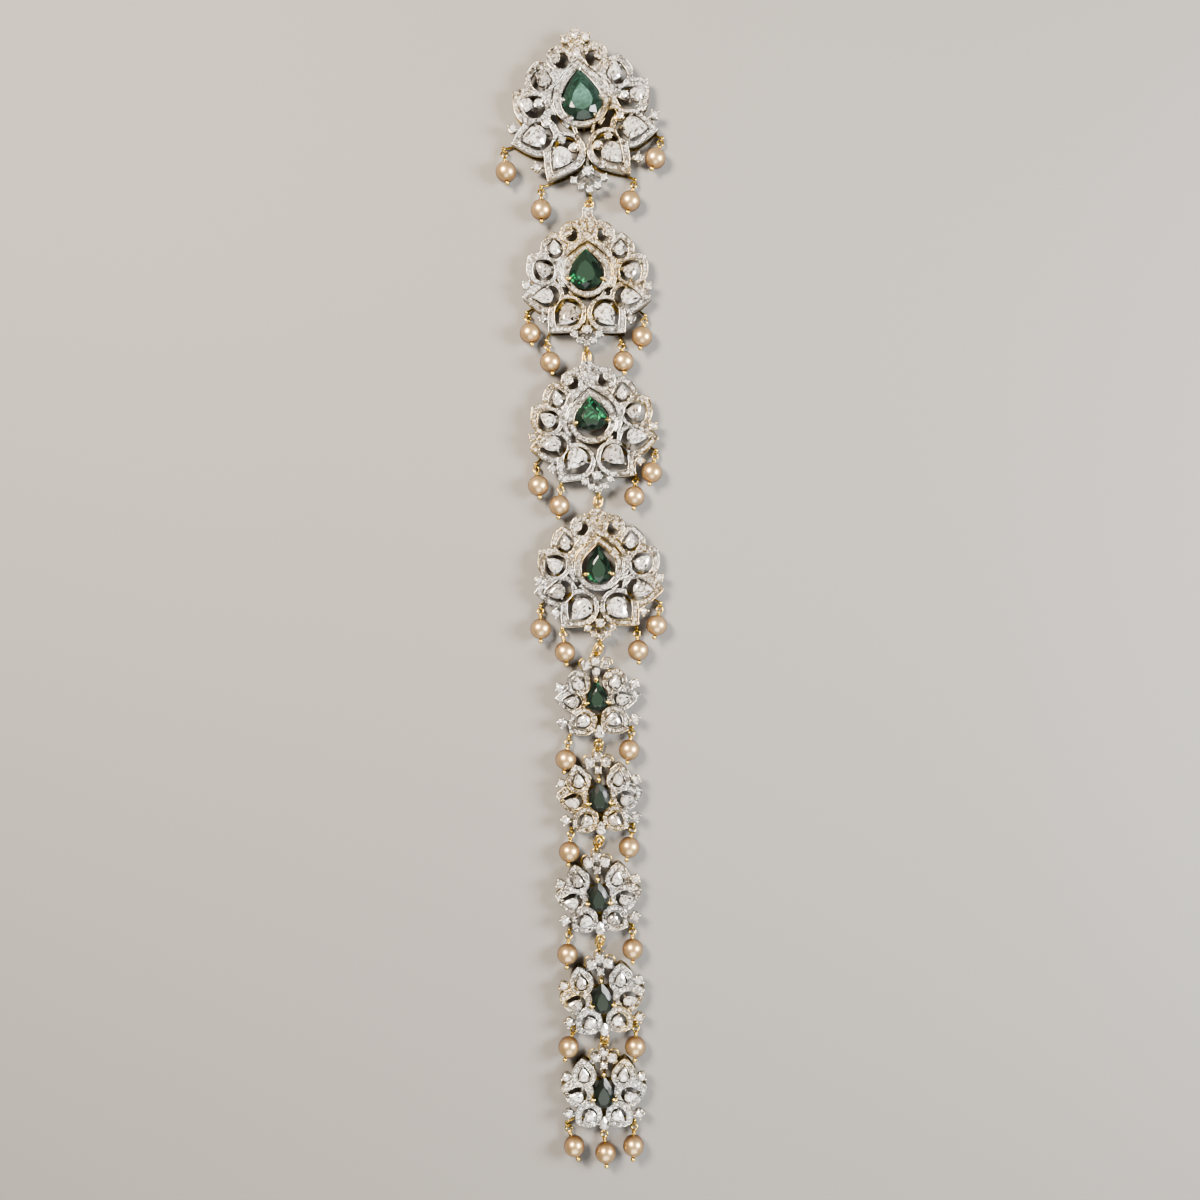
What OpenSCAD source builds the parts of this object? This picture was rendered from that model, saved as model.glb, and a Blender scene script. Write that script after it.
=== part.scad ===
// Braid ornament: nine openwork medallions linked in a chain, with pearl drops at their corners.
// It lies face up on a surface: X across, Y along the chain with the largest medallion at +Y, Z up.
// The origin is under the middle of the whole ornament, on the surface.

/* [Frames] */
// Thickness of the stone-set plate
plate_t = 1.5; // [1.2:0.1:1.8]
// Top of the back petals above the surface
top_back = 4.8; // [4.6:0.1:5]
// Top of the collar and the middle petals
top_mid = 5.1; // [5:0.1:5.3]
// Top of the front petals and the halo
top_front = 5.4; // [5.3:0.1:5.6]
// Height of the back gallery wire
gallery_t = 0.9; // [0.8:0.1:1.2]
// Width of the back gallery wire
gallery_w = 0.9; // [0.8:0.1:1.1]
// Radius of the posts between gallery and plate
post_r = 0.45; // [0.4:0.05:0.6]
// Width of the slit between halo and collar
slit_w = 0.4; // [0.3:0.05:0.6]

/* [Settings] */
// How far a girdle stands above its plate
girdle_up = 0.5; // [0.4:0.05:0.7]
// How far the girdle of a center stone stands above the halo
center_up = 0.9; // [0.7:0.1:1.1]
// Gap between a stone and its metal
seat_gap = 0.12; // [0.1:0.01:0.15]
// Wall of a seat ring
seat_w = 0.6; // [0.5:0.05:0.7]
// Radius of a claw wire
claw_r = 0.28; // [0.25:0.01:0.32]
// Radius of a claw's round head
claw_head_r = 0.42; // [0.38:0.01:0.46]

/* [Drops] */
// Radius of a pearl
pearl_r = 3.6; // [3.4:0.05:3.7]
// Radius of the hole drilled through a pearl
drill_r = 0.45; // [0.42:0.01:0.5]
// Radius of the head pin's wire
pin_r = 0.3; // [0.25:0.01:0.32]
// Radius of the ball at the foot of a head pin
pin_ball_r = 0.8; // [0.7:0.05:0.9]
// Radius of an eye ring, to the middle of its wire
eye_r = 1; // [0.98:0.01:1.05]
// Radius of the eye ring's wire
eye_wire_r = 0.31; // [0.25:0.01:0.32]

/* [Links] */
// Radius of a fixed loop, to the middle of its wire
loop_r = 0.88; // [0.78:0.01:0.9]
// Radius of a fixed loop's wire
loop_wire_r = 0.29; // [0.25:0.01:0.32]
// Height of the loops' centers above the surface
loop_z = 1.6; // [1.5:0.05:1.8]
// Half width of the oval link between two medallions, to the middle of its wire
link_r = 1.35; // [1.2:0.05:1.4]
// Radius of a link's wire
link_wire_r = 0.3; // [0.25:0.01:0.32]

/* [Hidden] */
white_gold = "#d9d6cf";
yellow_gold = "#d8b060";
emerald_green = "#14402c";
clear_stone = "#e6e8ea";
pearl_cream = "#dcbd92";

// Segments of an outline's arcs
outline_fn = 120;
// How far the side arcs of a pear stay inside its round end where they meet
arc_blend = 0.02;
// Points round the outline of a seat
seat_n = 12;
// Segments of a small round
round_fn = 32;
// Straightness of halo and collar
halo_straight = 0.85;
// Width of the narrow head above a large medallion's crown
head_w = 3.4;
// Opening under the center stone of a small medallion: center y, width, length
small_well = [0.5, 5.9, 9.4];
// Where the gallery bars of each large style and of the small ones cross the middle line
mid_bar_y = [-17, -12.6];
small_bar_y = [-6.6, 2.8];
// Thickness of the bars between collets
collet_bar_t = 0.8;
// Depth of a stone below its girdle, for each millimeter of half width
stone_depth = 0.86;
// How much wider a seat's hole gets with the stone's width
seat_ease = 0.015;
// How far the top of a seat ring lies below the girdle
seat_drop = 0.95;
// Points round a center stone's girdle and round a side stone's
center_n = 16;
side_n = 8;
// Overlap that solders one piece of metal to the next
solder = 0.15;
// Foot of the head above a large medallion's crown
head_foot_y = 17;
// How much narrower the gallery is than its outline, and how much its wire widens at the ends
gallery_in = 0.3;
gallery_end = 1.1;
// Half length of the bars across a small medallion's gallery, and of the one across a large one's
small_bar_x = 4.6;
mid_bar_x = 3;
// How far the gallery's middle wire starts inside the halo, and reaches into the loops at its ends
spine_in = 1;
spine_out = 0.3;
// Turns round a petal where its posts stand, and how far inside the outline, in width and length
post_turns = [0, 95, 180, 265];
post_in = [1.2, 1.3];
// Width of the arms from a seat ring to its claws
arm_w = 0.7;
// How far the arms reach past the stone: side stones, middle side stones, large and small center stones
arm_reach = [1.6, 1.2, 2, 1.2];
// How far a claw's head lies outside the girdle in width and length, and above it
claw_out = [0.6, 0.7];
claw_up = 0.4;
claw_up_share = 0.025;
// How much further out a claw's wire stands along the length
claw_stretch = 1.1;
// Width of the bar from a collet to its neighbor
collet_bar_w = 0.9;
// A collet's through hole for each millimeter of stone, and the slope of its seat
collet_hole = 0.45;
collet_rise = 1.2;
collet_spread = 1.4;
// How much thinner the bars between plates are than the plates
bar_drop = 0.3;
// Strut of a drop's loop: radius, height of its foot, and how far it reaches into the loop's wire
strut_r = 0.42;
strut_foot_z = 0.7;
strut_in = 0.1;
// Hair hook: wire radius, height of its upper and lower arm, where each starts, and where it bends
hook_r = 0.5;
hook_z = [3.2, 0.9];
hook_foot_y = [13.4, 13.6];
hook_bend_y = 16.6;
// Proportions of a cut stone for each millimeter of half width: girdle and crown
girdle_share = 0.05;
crown_share = 0.3;
// Width of the table, of the ring of star tips and of the keel ring, and the heights of the last two
table_w = 0.56;
star_w = 0.78;
star_up = 0.63;
keel_w = 0.3;
keel_down = 0.72;
// Segments of a pearl
pearl_fn = 64;
// How far the foot ball of a pin reaches over the pearl's drill hole
ball_in = 0.1;
// The wire wrapped round the neck of a pin: radius, and its gaps to the pearl and to the eye ring
neck_r = 0.5;
neck_gaps = [0.12, 0.2];
// How far the straight wires of a link reach into its bends, and how much thinner they are
link_in = 0.15;
link_thin = 0.02;

// Styles: 0 is the largest medallion, 1 the large ones, 2 the first small one, 3 the small ones
// Medallion columns: x, y, turn, style, stone set, head, top loop y, bottom loop y
medallions = [
    [0, 170.7, 5.6, 0, 0, 0, 0, -34.2],
    [2.1, 110.1, -0.3, 1, 1, 23.2, 24, -24.9],
    [3.8, 60.3, 5.4, 1, 2, 20.8, 20.2, -25],
    [6, 10.2, 1.5, 1, 1, 20.6, 21.2, -25.4],
    [5.6, -33.5, 3.2, 2, 3, 0, 14.4, -14.8],
    [6.3, -67.3, 3, 3, 4, 0, 15.6, -14],
    [6, -101.3, 3.4, 3, 4, 0, 16.4, -14],
    [7.3, -135.8, 4.5, 3, 4, 0, 16.6, -13.6],
    [7.8, -167.7, 0.3, 3, 4, 0, 15, -14.6]
];

// Center stone columns: x, y, lean, width, length, claws as turns round the outline
center_stones = [
    [0.2, 0.4, 0, 13, 17.2, [0, 98, 150, 210, 262]],
    [-0.5, 1.9, 0, 11.4, 13.8, [118, 242]],
    [-0.1, 2.8, 0, 10.6, 11.6, [118, 242]],
    [0, 1.5, 0, 8.2, 12.8, [118, 242]],
    [-0.1, 0.8, 0, 7.1, 10, [0, 118, 242]],
    [0, 0.5, 0, 7.1, 10.4, [0, 118, 242]],
    [0, 0.6, 0, 7.2, 10.4, [0, 118, 242]],
    [0, 0.5, 0, 7, 10.8, [0, 118, 242]],
    [0, 0.5, 0, 6.9, 11, [0, 118, 242]]
];

// Petal columns: x, y, lean of the tip outward, width, length, straightness of the sides, top
petals = [
    [
        [12.5, 7.5, 13, 12.2, 13.2, 0.8, top_back],
        [17.1, -0.8, 50, 13.4, 15.2, 0.8, top_mid],
        [17, -12, 99, 13.6, 16.6, 0.85, top_back],
        [8.6, -20, 144, 14.2, 18.6, 0.8, top_front]
    ],
    [
        [11.1, 9.6, 7, 9.9, 10.9, 0.85, top_back],
        [15.4, 2.6, 46, 11.4, 12.4, 0.8, top_mid],
        [15, -7.1, 93, 11.9, 14.3, 0.85, top_back],
        [7.6, -14, 135, 12.8, 15.5, 0.85, top_front]
    ],
    [
        [6.2, 5.3, 6, 8.4, 8.8, 0.4, top_mid],
        [9.1, -0.3, 84, 8.8, 11.2, 0.6, top_back],
        [5.8, -8.3, 128, 9.5, 10.6, 0.7, top_front]
    ],
    [
        [6.9, 6.3, 5, 8.5, 10, 0.5, top_mid],
        [9.2, 0, 75, 9.9, 11.5, 0.7, top_back],
        [5.5, -7.7, 126, 8.9, 9.8, 0.7, top_front]
    ]
];

// Window columns: x, y, lean, width, length, straightness
windows = [
    [
        [13, 7.2, 14, 7.2, 8, 0.8],
        [17.2, -1.3, 66, 7.8, 10.2, 0.7],
        [16.4, -11.9, 98, 9.6, 11.6, 0.85],
        [8.2, -19.1, 144, 9.8, 13.8, 0.8]
    ],
    [
        [11.1, 9.2, 7, 6, 7, 0.85],
        [15, 1.8, 46, 7.5, 8.2, 0.8],
        [14, -7.3, 93, 7.6, 9.7, 0.85],
        [6.8, -13.2, 135, 9.4, 10.8, 0.85]
    ],
    [
        [6.3, 5.1, 6, 5.1, 5.4, 0.5],
        [8.9, -0.9, 80, 5.4, 7, 0.6],
        [5.5, -7.9, 128, 5.4, 6, 0.7]
    ],
    [
        [6.7, 6.1, 5, 4.6, 6.3, 0.7],
        [9.2, -0.9, 76, 5.5, 6.9, 0.7],
        [5.2, -7.9, 126, 5.2, 5.8, 0.7]
    ]
];

// Stone sets: 0 the largest medallion, 1 and 2 the large ones, 3 the first small one, 4 the small ones
// Pear stone columns: x, y, lean, width, length, claws as turns round the outline
pear_stones = [
    [
        [12.3, 7.7, 12, 4.6, 6, [60, 180, 300]],
        [19.6, -0.6, 55, 4.8, 5.7, [80, 180, 280]],
        [17.4, -12.1, 98, 7.2, 8.4, [0, 110, 180, 250]],
        [9, -20.3, 140, 6.8, 7.8, [0, 110, 250]]
    ],
    [
        [11.1, 9.4, 8, 3.5, 5, [110, 250]],
        [15.2, 2, 49, 4.5, 6.2, [0, 130, 230]],
        [15, -7.3, 98, 5, 6.9, [0, 120, 240]],
        [6.6, -13.8, 137, 6.6, 8.4, [0, 110, 250]]
    ],
    [
        [11.1, 9.1, 8, 3.5, 4.9, [110, 250]],
        [15.1, 2.3, 49, 4.4, 5.8, [0, 130, 230]],
        [14.8, -6.4, 98, 5, 6.9, [0, 120, 240]],
        [6.8, -12.3, 137, 6.6, 7.9, [0, 110, 250]]
    ],
    [
        [6.3, 5.1, 8, 3.7, 4.5, [60, 180, 300]],
        [9, -1, 80, 3.7, 5.2, [0, 120, 240]],
        [5.4, -7.9, 125, 4.1, 5, [0, 120, 240]]
    ],
    [
        [6.8, 6, 8, 3.4, 4.8, [0, 120, 240]],
        [9.6, -1.5, 80, 3.6, 5.1, [0, 120, 240]],
        [5, -8.4, 126, 3.9, 4.8, [0, 120, 240]]
    ]
];

// Round stone columns, both sides: x, y, stone radius, collet radius, x and y where it is soldered
side_rounds = [
    [
        [3.5, 20.1, 1.35, 1.55, 2, 18.5], [14.6, -0.6, 1.1, 1.75, 11, -0.6],
        [12.5, -7.6, 1.15, 1.75, 12.8, -5.4], [4.1, -16.6, 1.15, 1.75, 2.4, -14.8],
        [7.9, -13.9, 1.05, 1.3, 8.4, -11.9], [24.2, -8.5, 1.15, 1.35, 21.9, -10.4],
        [17.4, -22.4, 1.15, 1.35, 13.6, -21.9], [5.2, -28, 1, 1.2, 0, -25.2], [2.9, -30.4, 1, 1.2, 0, -25.2]
    ],
    [
        [20.5, -3.4, 1.15, 1.35, 18.8, -3.2], [14.9, -14.7, 1.15, 1.35, 13, -13.8],
        [4.3, -20, 1, 1.2, 0, -18.4], [2.3, -22.1, 0.95, 1.15, 0, -18.4]
    ],
    [
        [3.2, 11.2, 1.5, 1.7, 5, 8.2], [12.7, 4, 1.25, 1.5, 10.9, 2.8], [12.4, -7.9, 1.25, 1.5, 9.4, -7.9]
    ],
    [
        [2.8, 11.7, 1.55, 1.75, 5.4, 9.1], [12.8, 5.2, 1.25, 1.5, 11, 4], [12, -7.3, 1.25, 1.5, 9, -7.5]
    ]
];

// Round stones on the middle line: y, stone radius, collet radius, y where it is soldered
mid_rounds = [
    [[21.5, 1.6, 1.8, 18], [14.8, 1.25, 1.5, 16.5], [-25.2, 1.5, 1.9, -20], [-31.6, 1, 1.2, -25.2]],
    [[-18.4, 1.4, 1.7, -12.4], [-23, 0.95, 1.15, -18.4]],
    [[12.3, 1.3, 1.5, 5.6]],
    [[13.6, 1.45, 1.65, 9.2], [9.2, 1.1, 1.3, 5.4]]
];

// Pear stones on the middle line: x, y, lean, width, length, claws as turns round the outline
mid_pears = [
    [],
    [],
    [[0, 8.4, 180, 2.6, 3.4, []], [0, -11.5, 0, 3.5, 4.6, [90, 270]]],
    [[0, -10.5, 0, 3.2, 4.6, [90, 270]]]
];

// Halo columns: center y, width and length of the rim, then of its opening
halos = [
    [1.2, 19.4, 22.8, 1, 14, 18.6],
    [2, 16.7, 18.8, 1.5, 11.9, 14]
];

// Collar columns: center y, width, length, and the height where it ends
collars = [
    [3.6, 25, 30, -5],
    [4.1, 20.9, 25.8, -4]
];

// Scroll columns: disc x, y, r, its crescent x, y, r, its curl x, y, r
scrolls = [
    [6, 14, 4.4, 5.4, 12.9, 2.7, 7.9, 14.3, 2.1],
    [5.3, 14.4, 4, 5.5, 13.8, 2.3, 7.2, 15, 1.95]
];

// Crown columns above the collar: half width, foot and top of the column, lobes as x, y, r
crowns = [
    [2.4, 13, 20.2, [[1.6, 19.4, 1.6]]],
    [2.6, 12.4, 18.8, [[1.3, 18.9, 1.25], [3.5, 18.2, 1]]]
];

// Bars that join the halo or petals, both sides: x, y, turn, length, width, top
bars = [
    [
        [8, 7.4, -42, 2.6, 1, top_mid], [9.9, -1.6, 0, 2.6, 1, top_mid], [6.2, -8.6, 52, 2.6, 1, top_mid],
        [3.1, -10.8, 75, 2.8, 1, top_mid], [11.4, 5, 0, 3, 1.6, top_back]
    ],
    [
        [6.8, 6.6, -42, 2.6, 1, top_mid], [8.5, -0.9, 0, 2.6, 1, top_mid], [5.4, -6.4, 55, 2.6, 1, top_mid]
    ],
    [],
    []
];

// Drop columns: medallion, pearl x and y, swing from straight down, reach to the eye ring's middle,
// then x and y where the strut of its loop is soldered to the gallery
drops = [
    [0, -25.6, 145.8, 7, 7, -23.2, 155.3], [0, -13.6, 132.8, 1, 7, -10.8, 142.4],
    [0, 16.7, 135.8, -12, 6.6, 16.2, 145.2], [0, 25.3, 150.4, -18, 6.4, 25.1, 159.5],
    [1, -17.4, 90.7, 10, 6, -16.4, 100], [1, -10.5, 80.9, 10, 6.2, -10.8, 91.3],
    [1, 14.4, 81.1, 6, 5.9, 13.5, 91.1], [1, 20.8, 89.5, -9, 6.2, 19.6, 99.2],
    [2, -14.6, 38.7, 8, 6, -13.3, 48.8], [2, -7.4, 31.9, -4, 6, -7.2, 40.8],
    [2, 18.2, 35, -4, 6, 18.2, 43.2], [2, 24.1, 43.2, -12, 6.3, 23.2, 52.5],
    [3, -13.8, -10.2, 1, 6.3, -11.9, -0.6], [3, -5.5, -18.1, 7, 6.4, -6, -9],
    [3, 19.5, -17.5, 3, 6, 18.6, -8.4], [3, 25.8, -9, -11, 6.1, 24.6, 0.4],
    [4, -5.2, -54.8, -8, 6, -2.8, -44.7], [4, 16.4, -51.5, -8, 5.9, 15.4, -43.6],
    [5, -4, -86.3, -5, 5.9, -2.1, -77.9], [5, 16.4, -84.7, -12, 5.9, 15.8, -76.9],
    [6, -4.6, -121.2, -4, 6, -2.3, -111.9], [6, 17.6, -119.5, 0, 5.9, 15.6, -110.8],
    [7, -4.2, -152.9, -18, 5.9, -1, -145.8], [7, 18.5, -152.8, -3, 5.9, 17, -145.2],
    [8, -2.3, -186.7, 20, 6, -1.3, -177.5], [8, 8.4, -188.9, 4.5, 5.9],
    [8, 17.9, -186.6, -3, 6, 16.8, -178.3]
];
// The drop that hangs from the last medallion's bottom loop
last_mid_drop = 25;

// The pear outline of a stone at a turn from its tip: tip up, centered on its length
function pear_peak() = let (t = acos(-1 / 3)) sin(t) * sin(t / 2);
function pear_at(w, l, t) = [w / 2 * sin(t) * abs(sin(t / 2)) / pear_peak(), l / 2 * cos(t)];

// The same outline in arcs, for metal: a round end and two side arcs that meet it and form the tip.
// A straightness of 1 would make the sides straight lines.
module pear(w, l, straight) {
    r = w / 2;
    reach = l - r;
    turn = straight * asin(r / reach);
    side_r = (reach * reach + r * r - 2 * reach * r * sin(turn)) / (2 * (r - reach * sin(turn)));
    way = side_r - r;
    translate([0, r - l / 2]) {
        circle(r = r, $fn = outline_fn);
        intersection() {
            translate([-way * cos(turn), -way * sin(turn)]) circle(r = side_r - arc_blend, $fn = outline_fn);
            translate([way * cos(turn), -way * sin(turn)]) circle(r = side_r - arc_blend, $fn = outline_fn);
            translate([-r, r * sin(turn)]) square([w, reach]);
        }
    }
}

// A low-sided outline round a stone's pavilion where it is `share` as wide as the girdle
module seat_pear(w, l, share, out) {
    wide = w * share + 2 * out;
    long = l * share + 2 * out;
    translate([0, -l / 6 * (1 - share)])
        polygon([for (i = [0:seat_n - 1]) pear_at(wide, long, 360 * i / seat_n)]);
}

// Puts a shape where a row of a table says, its tip leaning outward
module at(row) {
    translate([row[0], row[1]]) rotate(-row[2]) children();
}

module both_sides() {
    children();
    mirror([1, 0, 0]) children();
}

// A straight round rod between two points
module rod(from, to, r) {
    way = to - from;
    flat = norm([way[0], way[1]]);
    translate(from)
        rotate([0, atan2(flat, way[2]), atan2(way[1], way[0])])
            cylinder(h = norm(way), r = r, $fn = round_fn);
}

module ring(r, wire_r) {
    rotate_extrude($fn = round_fn) translate([r, 0]) circle(r = wire_r, $fn = round_fn);
}

// A flat strip between two points of the plan
module strip(from, to, w) {
    way = to - from;
    translate(from) rotate(atan2(way[1], way[0])) translate([0, -w / 2]) square([norm(way), w]);
}

// Everything that is open in the plate of a style
module openings(style) {
    both_sides() {
        for (row = windows[style]) at(row) pear(row[3], row[4], row[5]);
    }
    if (style < 2) {
        row = halos[style];
        translate([0, row[0]]) pear(row[1] + 2 * slit_w, row[2] + 2 * slit_w, halo_straight);
    } else {
        translate([0, small_well[0]]) pear(small_well[1], small_well[2], halo_straight);
    }
}

// Collar, crown and scrolls above the halo
module collar(style) {
    row = collars[style];
    crown = crowns[style];
    scroll = scrolls[style];
    difference() {
        union() {
            difference() {
                translate([0, row[0]]) pear(row[1], row[2], halo_straight);
                translate([-row[1], row[3] - row[2]]) square([2 * row[1], row[2]]);
            }
            translate([-crown[0], crown[1]]) square([2 * crown[0], crown[2] - crown[1]]);
            both_sides() {
                for (lobe = crown[3]) translate([lobe[0], lobe[1]]) circle(r = lobe[2], $fn = round_fn);
                translate([scroll[0], scroll[1]]) circle(r = scroll[2], $fn = round_fn);
            }
        }
        both_sides() difference() {
            translate([scroll[3], scroll[4]]) circle(r = scroll[5], $fn = round_fn);
            translate([scroll[6], scroll[7]]) circle(r = scroll[8], $fn = round_fn);
        }
    }
}

// The petals of a style whose tops lie at one level, with the collar where it belongs
module plate_level(style, top, head) {
    translate([0, 0, top - plate_t]) linear_extrude(plate_t) difference() {
        union() {
            both_sides() {
                for (row = petals[style]) {
                    if (row[6] == top) at(row) pear(row[3], row[4], row[5]);
                }
            }
            if (style < 2 && top == top_mid) collar(style);
            if (head > 0 && top == top_mid) strip([0, head_foot_y], [0, head], head_w);
        }
        openings(style);
    }
}

module halo(style) {
    row = halos[style];
    translate([0, 0, top_front - plate_t]) linear_extrude(plate_t) difference() {
        translate([0, row[0]]) pear(row[1], row[2], halo_straight);
        translate([0, row[3]]) pear(row[4], row[5], halo_straight);
    }
}

// A ring of gallery wire just inside an outline
module gallery_ring(w, l, straight) {
    difference() {
        pear(w - gallery_in, l - gallery_in, straight);
        pear(w - gallery_in - 2 * gallery_w, l - gallery_in - 2 * gallery_end * gallery_w, straight);
    }
}

module gallery(style, top_loop_y, bottom_loop_y) {
    linear_extrude(gallery_t) {
        both_sides() {
            for (row = petals[style]) at(row) gallery_ring(row[3], row[4], row[5]);
        }
        if (style < 2) {
            row = halos[style];
            translate([0, row[0]]) gallery_ring(row[1], row[2], halo_straight);
            both_sides() strip([0, mid_bar_y[style]], [mid_bar_x, mid_bar_y[style]], gallery_w);
        } else {
            for (y = small_bar_y) strip([-small_bar_x, y], [small_bar_x, y], gallery_w);
        }
        spine_top = style < 2 ? halos[style][0] + halos[style][2] / 2 - spine_in : small_bar_y[1];
        spine_foot = style < 2 ? mid_bar_y[style] : small_bar_y[0];
        if (top_loop_y > 0) strip([0, spine_top], [0, top_loop_y + spine_out], gallery_w);
        strip([0, bottom_loop_y - spine_out], [0, spine_foot], gallery_w);
    }
}

// Posts from the gallery up into the band of a petal
module posts(row) {
    for (t = post_turns) {
        spot = pear_at(row[3] - post_in[0], row[4] - post_in[1], t);
        at(row) translate([spot[0], spot[1], gallery_t - solder])
            cylinder(h = row[6] - plate_t - gallery_t + 2 * solder, r = post_r, $fn = round_fn);
    }
}

// Seat ring, arms and claws of a pear stone whose girdle is at girdle_z
module pear_seat(row, girdle_z, floor_z, reach) {
    w = row[3];
    l = row[4];
    spread = seat_gap + claw_r;
    share = 1 - seat_drop / (stone_depth * w / 2);
    clear = seat_gap + seat_ease * w;
    at(row) {
        translate([0, 0, floor_z]) linear_extrude(girdle_z - seat_drop - floor_z) difference() {
            union() {
                seat_pear(w, l, share, clear + seat_w);
                for (t = row[5]) strip([0, -l / 6], pear_at(w + 2 * reach, l + 2 * reach, t), arm_w);
            }
            seat_pear(w, l, share, clear);
        }
        for (t = row[5]) {
            foot = pear_at(w + 2 * spread, l + 2 * claw_stretch * spread, t);
            head = pear_at(w + claw_out[0], l + claw_out[1], t);
            head_z = girdle_z + claw_up_share * w + claw_up;
            translate([foot[0], foot[1], floor_z])
                cylinder(h = girdle_z - floor_z + claw_up, r = claw_r, $fn = round_fn);
            translate([head[0], head[1], head_z]) sphere(r = claw_head_r, $fn = round_fn);
        }
    }
}

// Outside of a round stone's collet and the bar that solders it to its neighbor
module collet_body(x, y, r, to) {
    translate([x, y, top_mid - plate_t]) cylinder(h = plate_t, r = r, $fn = round_fn);
    translate([0, 0, top_mid - plate_t]) linear_extrude(collet_bar_t) strip([x, y], to, collet_bar_w);
}

// Hole and seat of a round stone
module collet_bore(x, y, stone_r) {
    seat_z = top_mid + girdle_up - stone_depth * stone_r - seat_gap;
    seat_r = collet_spread * stone_r + seat_gap;
    translate([x, y, 0]) cylinder(h = 2 * top_mid, r = collet_hole * stone_r, $fn = round_fn);
    translate([x, y, seat_z])
        cylinder(h = collet_rise * stone_r, r1 = seat_gap, r2 = seat_r, $fn = round_fn);
}

module collets(style) {
    both_sides() {
        for (row = side_rounds[style]) collet_body(row[0], row[1], row[3], [row[4], row[5]]);
    }
    for (row = mid_rounds[style]) collet_body(0, row[0], row[2], [0, row[3]]);
}

module collet_bores(style) {
    both_sides() {
        for (row = side_rounds[style]) collet_bore(row[0], row[1], row[2]);
    }
    for (row = mid_rounds[style]) collet_bore(0, row[0], row[1]);
}

module plate_bars(style) {
    both_sides() {
        for (row = bars[style]) {
            translate([row[0], row[1], row[5] - plate_t]) rotate(row[2])
                translate([-row[3] / 2, -row[4] / 2, 0]) cube([row[3], row[4], plate_t - bar_drop]);
        }
    }
}

// A loop standing on edge, its hole across the way that the turn says
module fixed_loop(x, y, turn) {
    translate([x, y, loop_z]) rotate([0, 0, turn]) rotate([0, 90, 0]) ring(loop_r, loop_wire_r);
}

// Where the fixed loop of a drop is, and the foot of its strut in the petal's gallery
function drop_way(d) = [sin(d[3]), -cos(d[3])];
function drop_tilt(d) = asin((pearl_r - loop_z) / (d[4] + eye_r));
function drop_flat(d) = (d[4] + eye_r) * cos(drop_tilt(d));
function loop_spot(d) = [d[1], d[2]] - drop_way(d) * drop_flat(d);

// A drop's loop, with a strut back to the frame
module drop_loop(d) {
    spot = loop_spot(d);
    fixed_loop(spot[0], spot[1], d[3]);
    finish = spot - drop_way(d) * (loop_r - strut_in);
    rod([d[5], d[6], strut_foot_z], [finish[0], finish[1], loop_z], strut_r);
}

module hair_hook() {
    bend_r = (hook_z[0] - hook_z[1]) / 2;
    for (k = [0, 1]) rod([0, hook_foot_y[k], hook_z[k]], [0, hook_bend_y, hook_z[k]], hook_r);
    translate([0, hook_bend_y, hook_z[1] + bend_r]) rotate([90, 0, 90])
        rotate([0, 0, -90]) rotate_extrude(angle = 180, $fn = round_fn)
            translate([bend_r, 0]) circle(r = hook_r, $fn = round_fn);
}

// Plates, collets and seats of a medallion
module plates(i) {
    row = medallions[i];
    style = row[3];
    difference() {
        union() {
            for (top = [top_back, top_mid, top_front]) plate_level(style, top, row[5]);
            if (style < 2) halo(style);
            collets(style);
            plate_bars(style);
        }
        collet_bores(style);
    }
    both_sides() {
        for (stone = pear_stones[row[4]]) {
            pear_seat(stone, top_mid + girdle_up, top_back - plate_t, arm_reach[0]);
        }
    }
    for (stone = mid_pears[style]) pear_seat(stone, top_mid + girdle_up, top_back - plate_t, arm_reach[1]);
    center_reach = style < 2 ? arm_reach[2] : arm_reach[3];
    pear_seat(center_stones[i], top_front + center_up, top_front - plate_t, center_reach);
}

function halo_post_row(style) =
    let (row = halos[style]) [0, row[0], 0, row[1], row[2], halo_straight, top_front];

module frame(i) {
    row = medallions[i];
    color(white_gold) translate([row[0], row[1], 0]) rotate(row[2]) plates(i);
    color(yellow_gold) {
        translate([row[0], row[1], 0]) rotate(row[2]) {
            gallery(row[3], row[6], row[7]);
            both_sides() {
                for (petal = petals[row[3]]) posts(petal);
            }
            if (row[3] < 2) posts(halo_post_row(row[3]));
            if (row[6] > 0) fixed_loop(0, row[6], 0);
            fixed_loop(0, row[7], 0);
            if (i == 0) hair_hook();
        }
        for (k = [0:len(drops) - 1]) {
            if (drops[k][0] == i && k != last_mid_drop) drop_loop(drops[k]);
        }
    }
}

// A pear-cut stone with n points round its girdle, lower edge of the girdle at z 0
module brilliant(w, l, n) {
    r = w / 2;
    rim_z = girdle_share * r;
    crown_h = crown_share * r;
    depth = stone_depth * r;
    turns = [for (i = [0:n - 1]) 360 * i / n];
    table = [for (i = [0:2:n - 1]) gem_point(w, l, turns[i], table_w, rim_z + crown_h)];
    star = [for (i = [1:2:n - 1]) gem_point(w, l, turns[i], star_w, rim_z + crown_h * star_up)];
    rim = [for (t = turns) gem_point(w, l, t, 1, rim_z)];
    girdle = [for (t = turns) gem_point(w, l, t, 1, 0)];
    keel = [for (i = [1:2:n - 1]) gem_point(w, l, turns[i], keel_w, -depth * keel_down)];
    polyhedron(
        points = concat(table, star, rim, girdle, keel, [[0, -l / 6, -depth]]),
        faces = gem_faces(n)
    );
}

// A point of the outline drawn in towards the lowest point's place in the plan
function gem_point(w, l, t, share, z) =
    let (p = pear_at(w, l, t), keel_y = -l / 6) [p[0] * share, keel_y + (p[1] - keel_y) * share, z];

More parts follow.
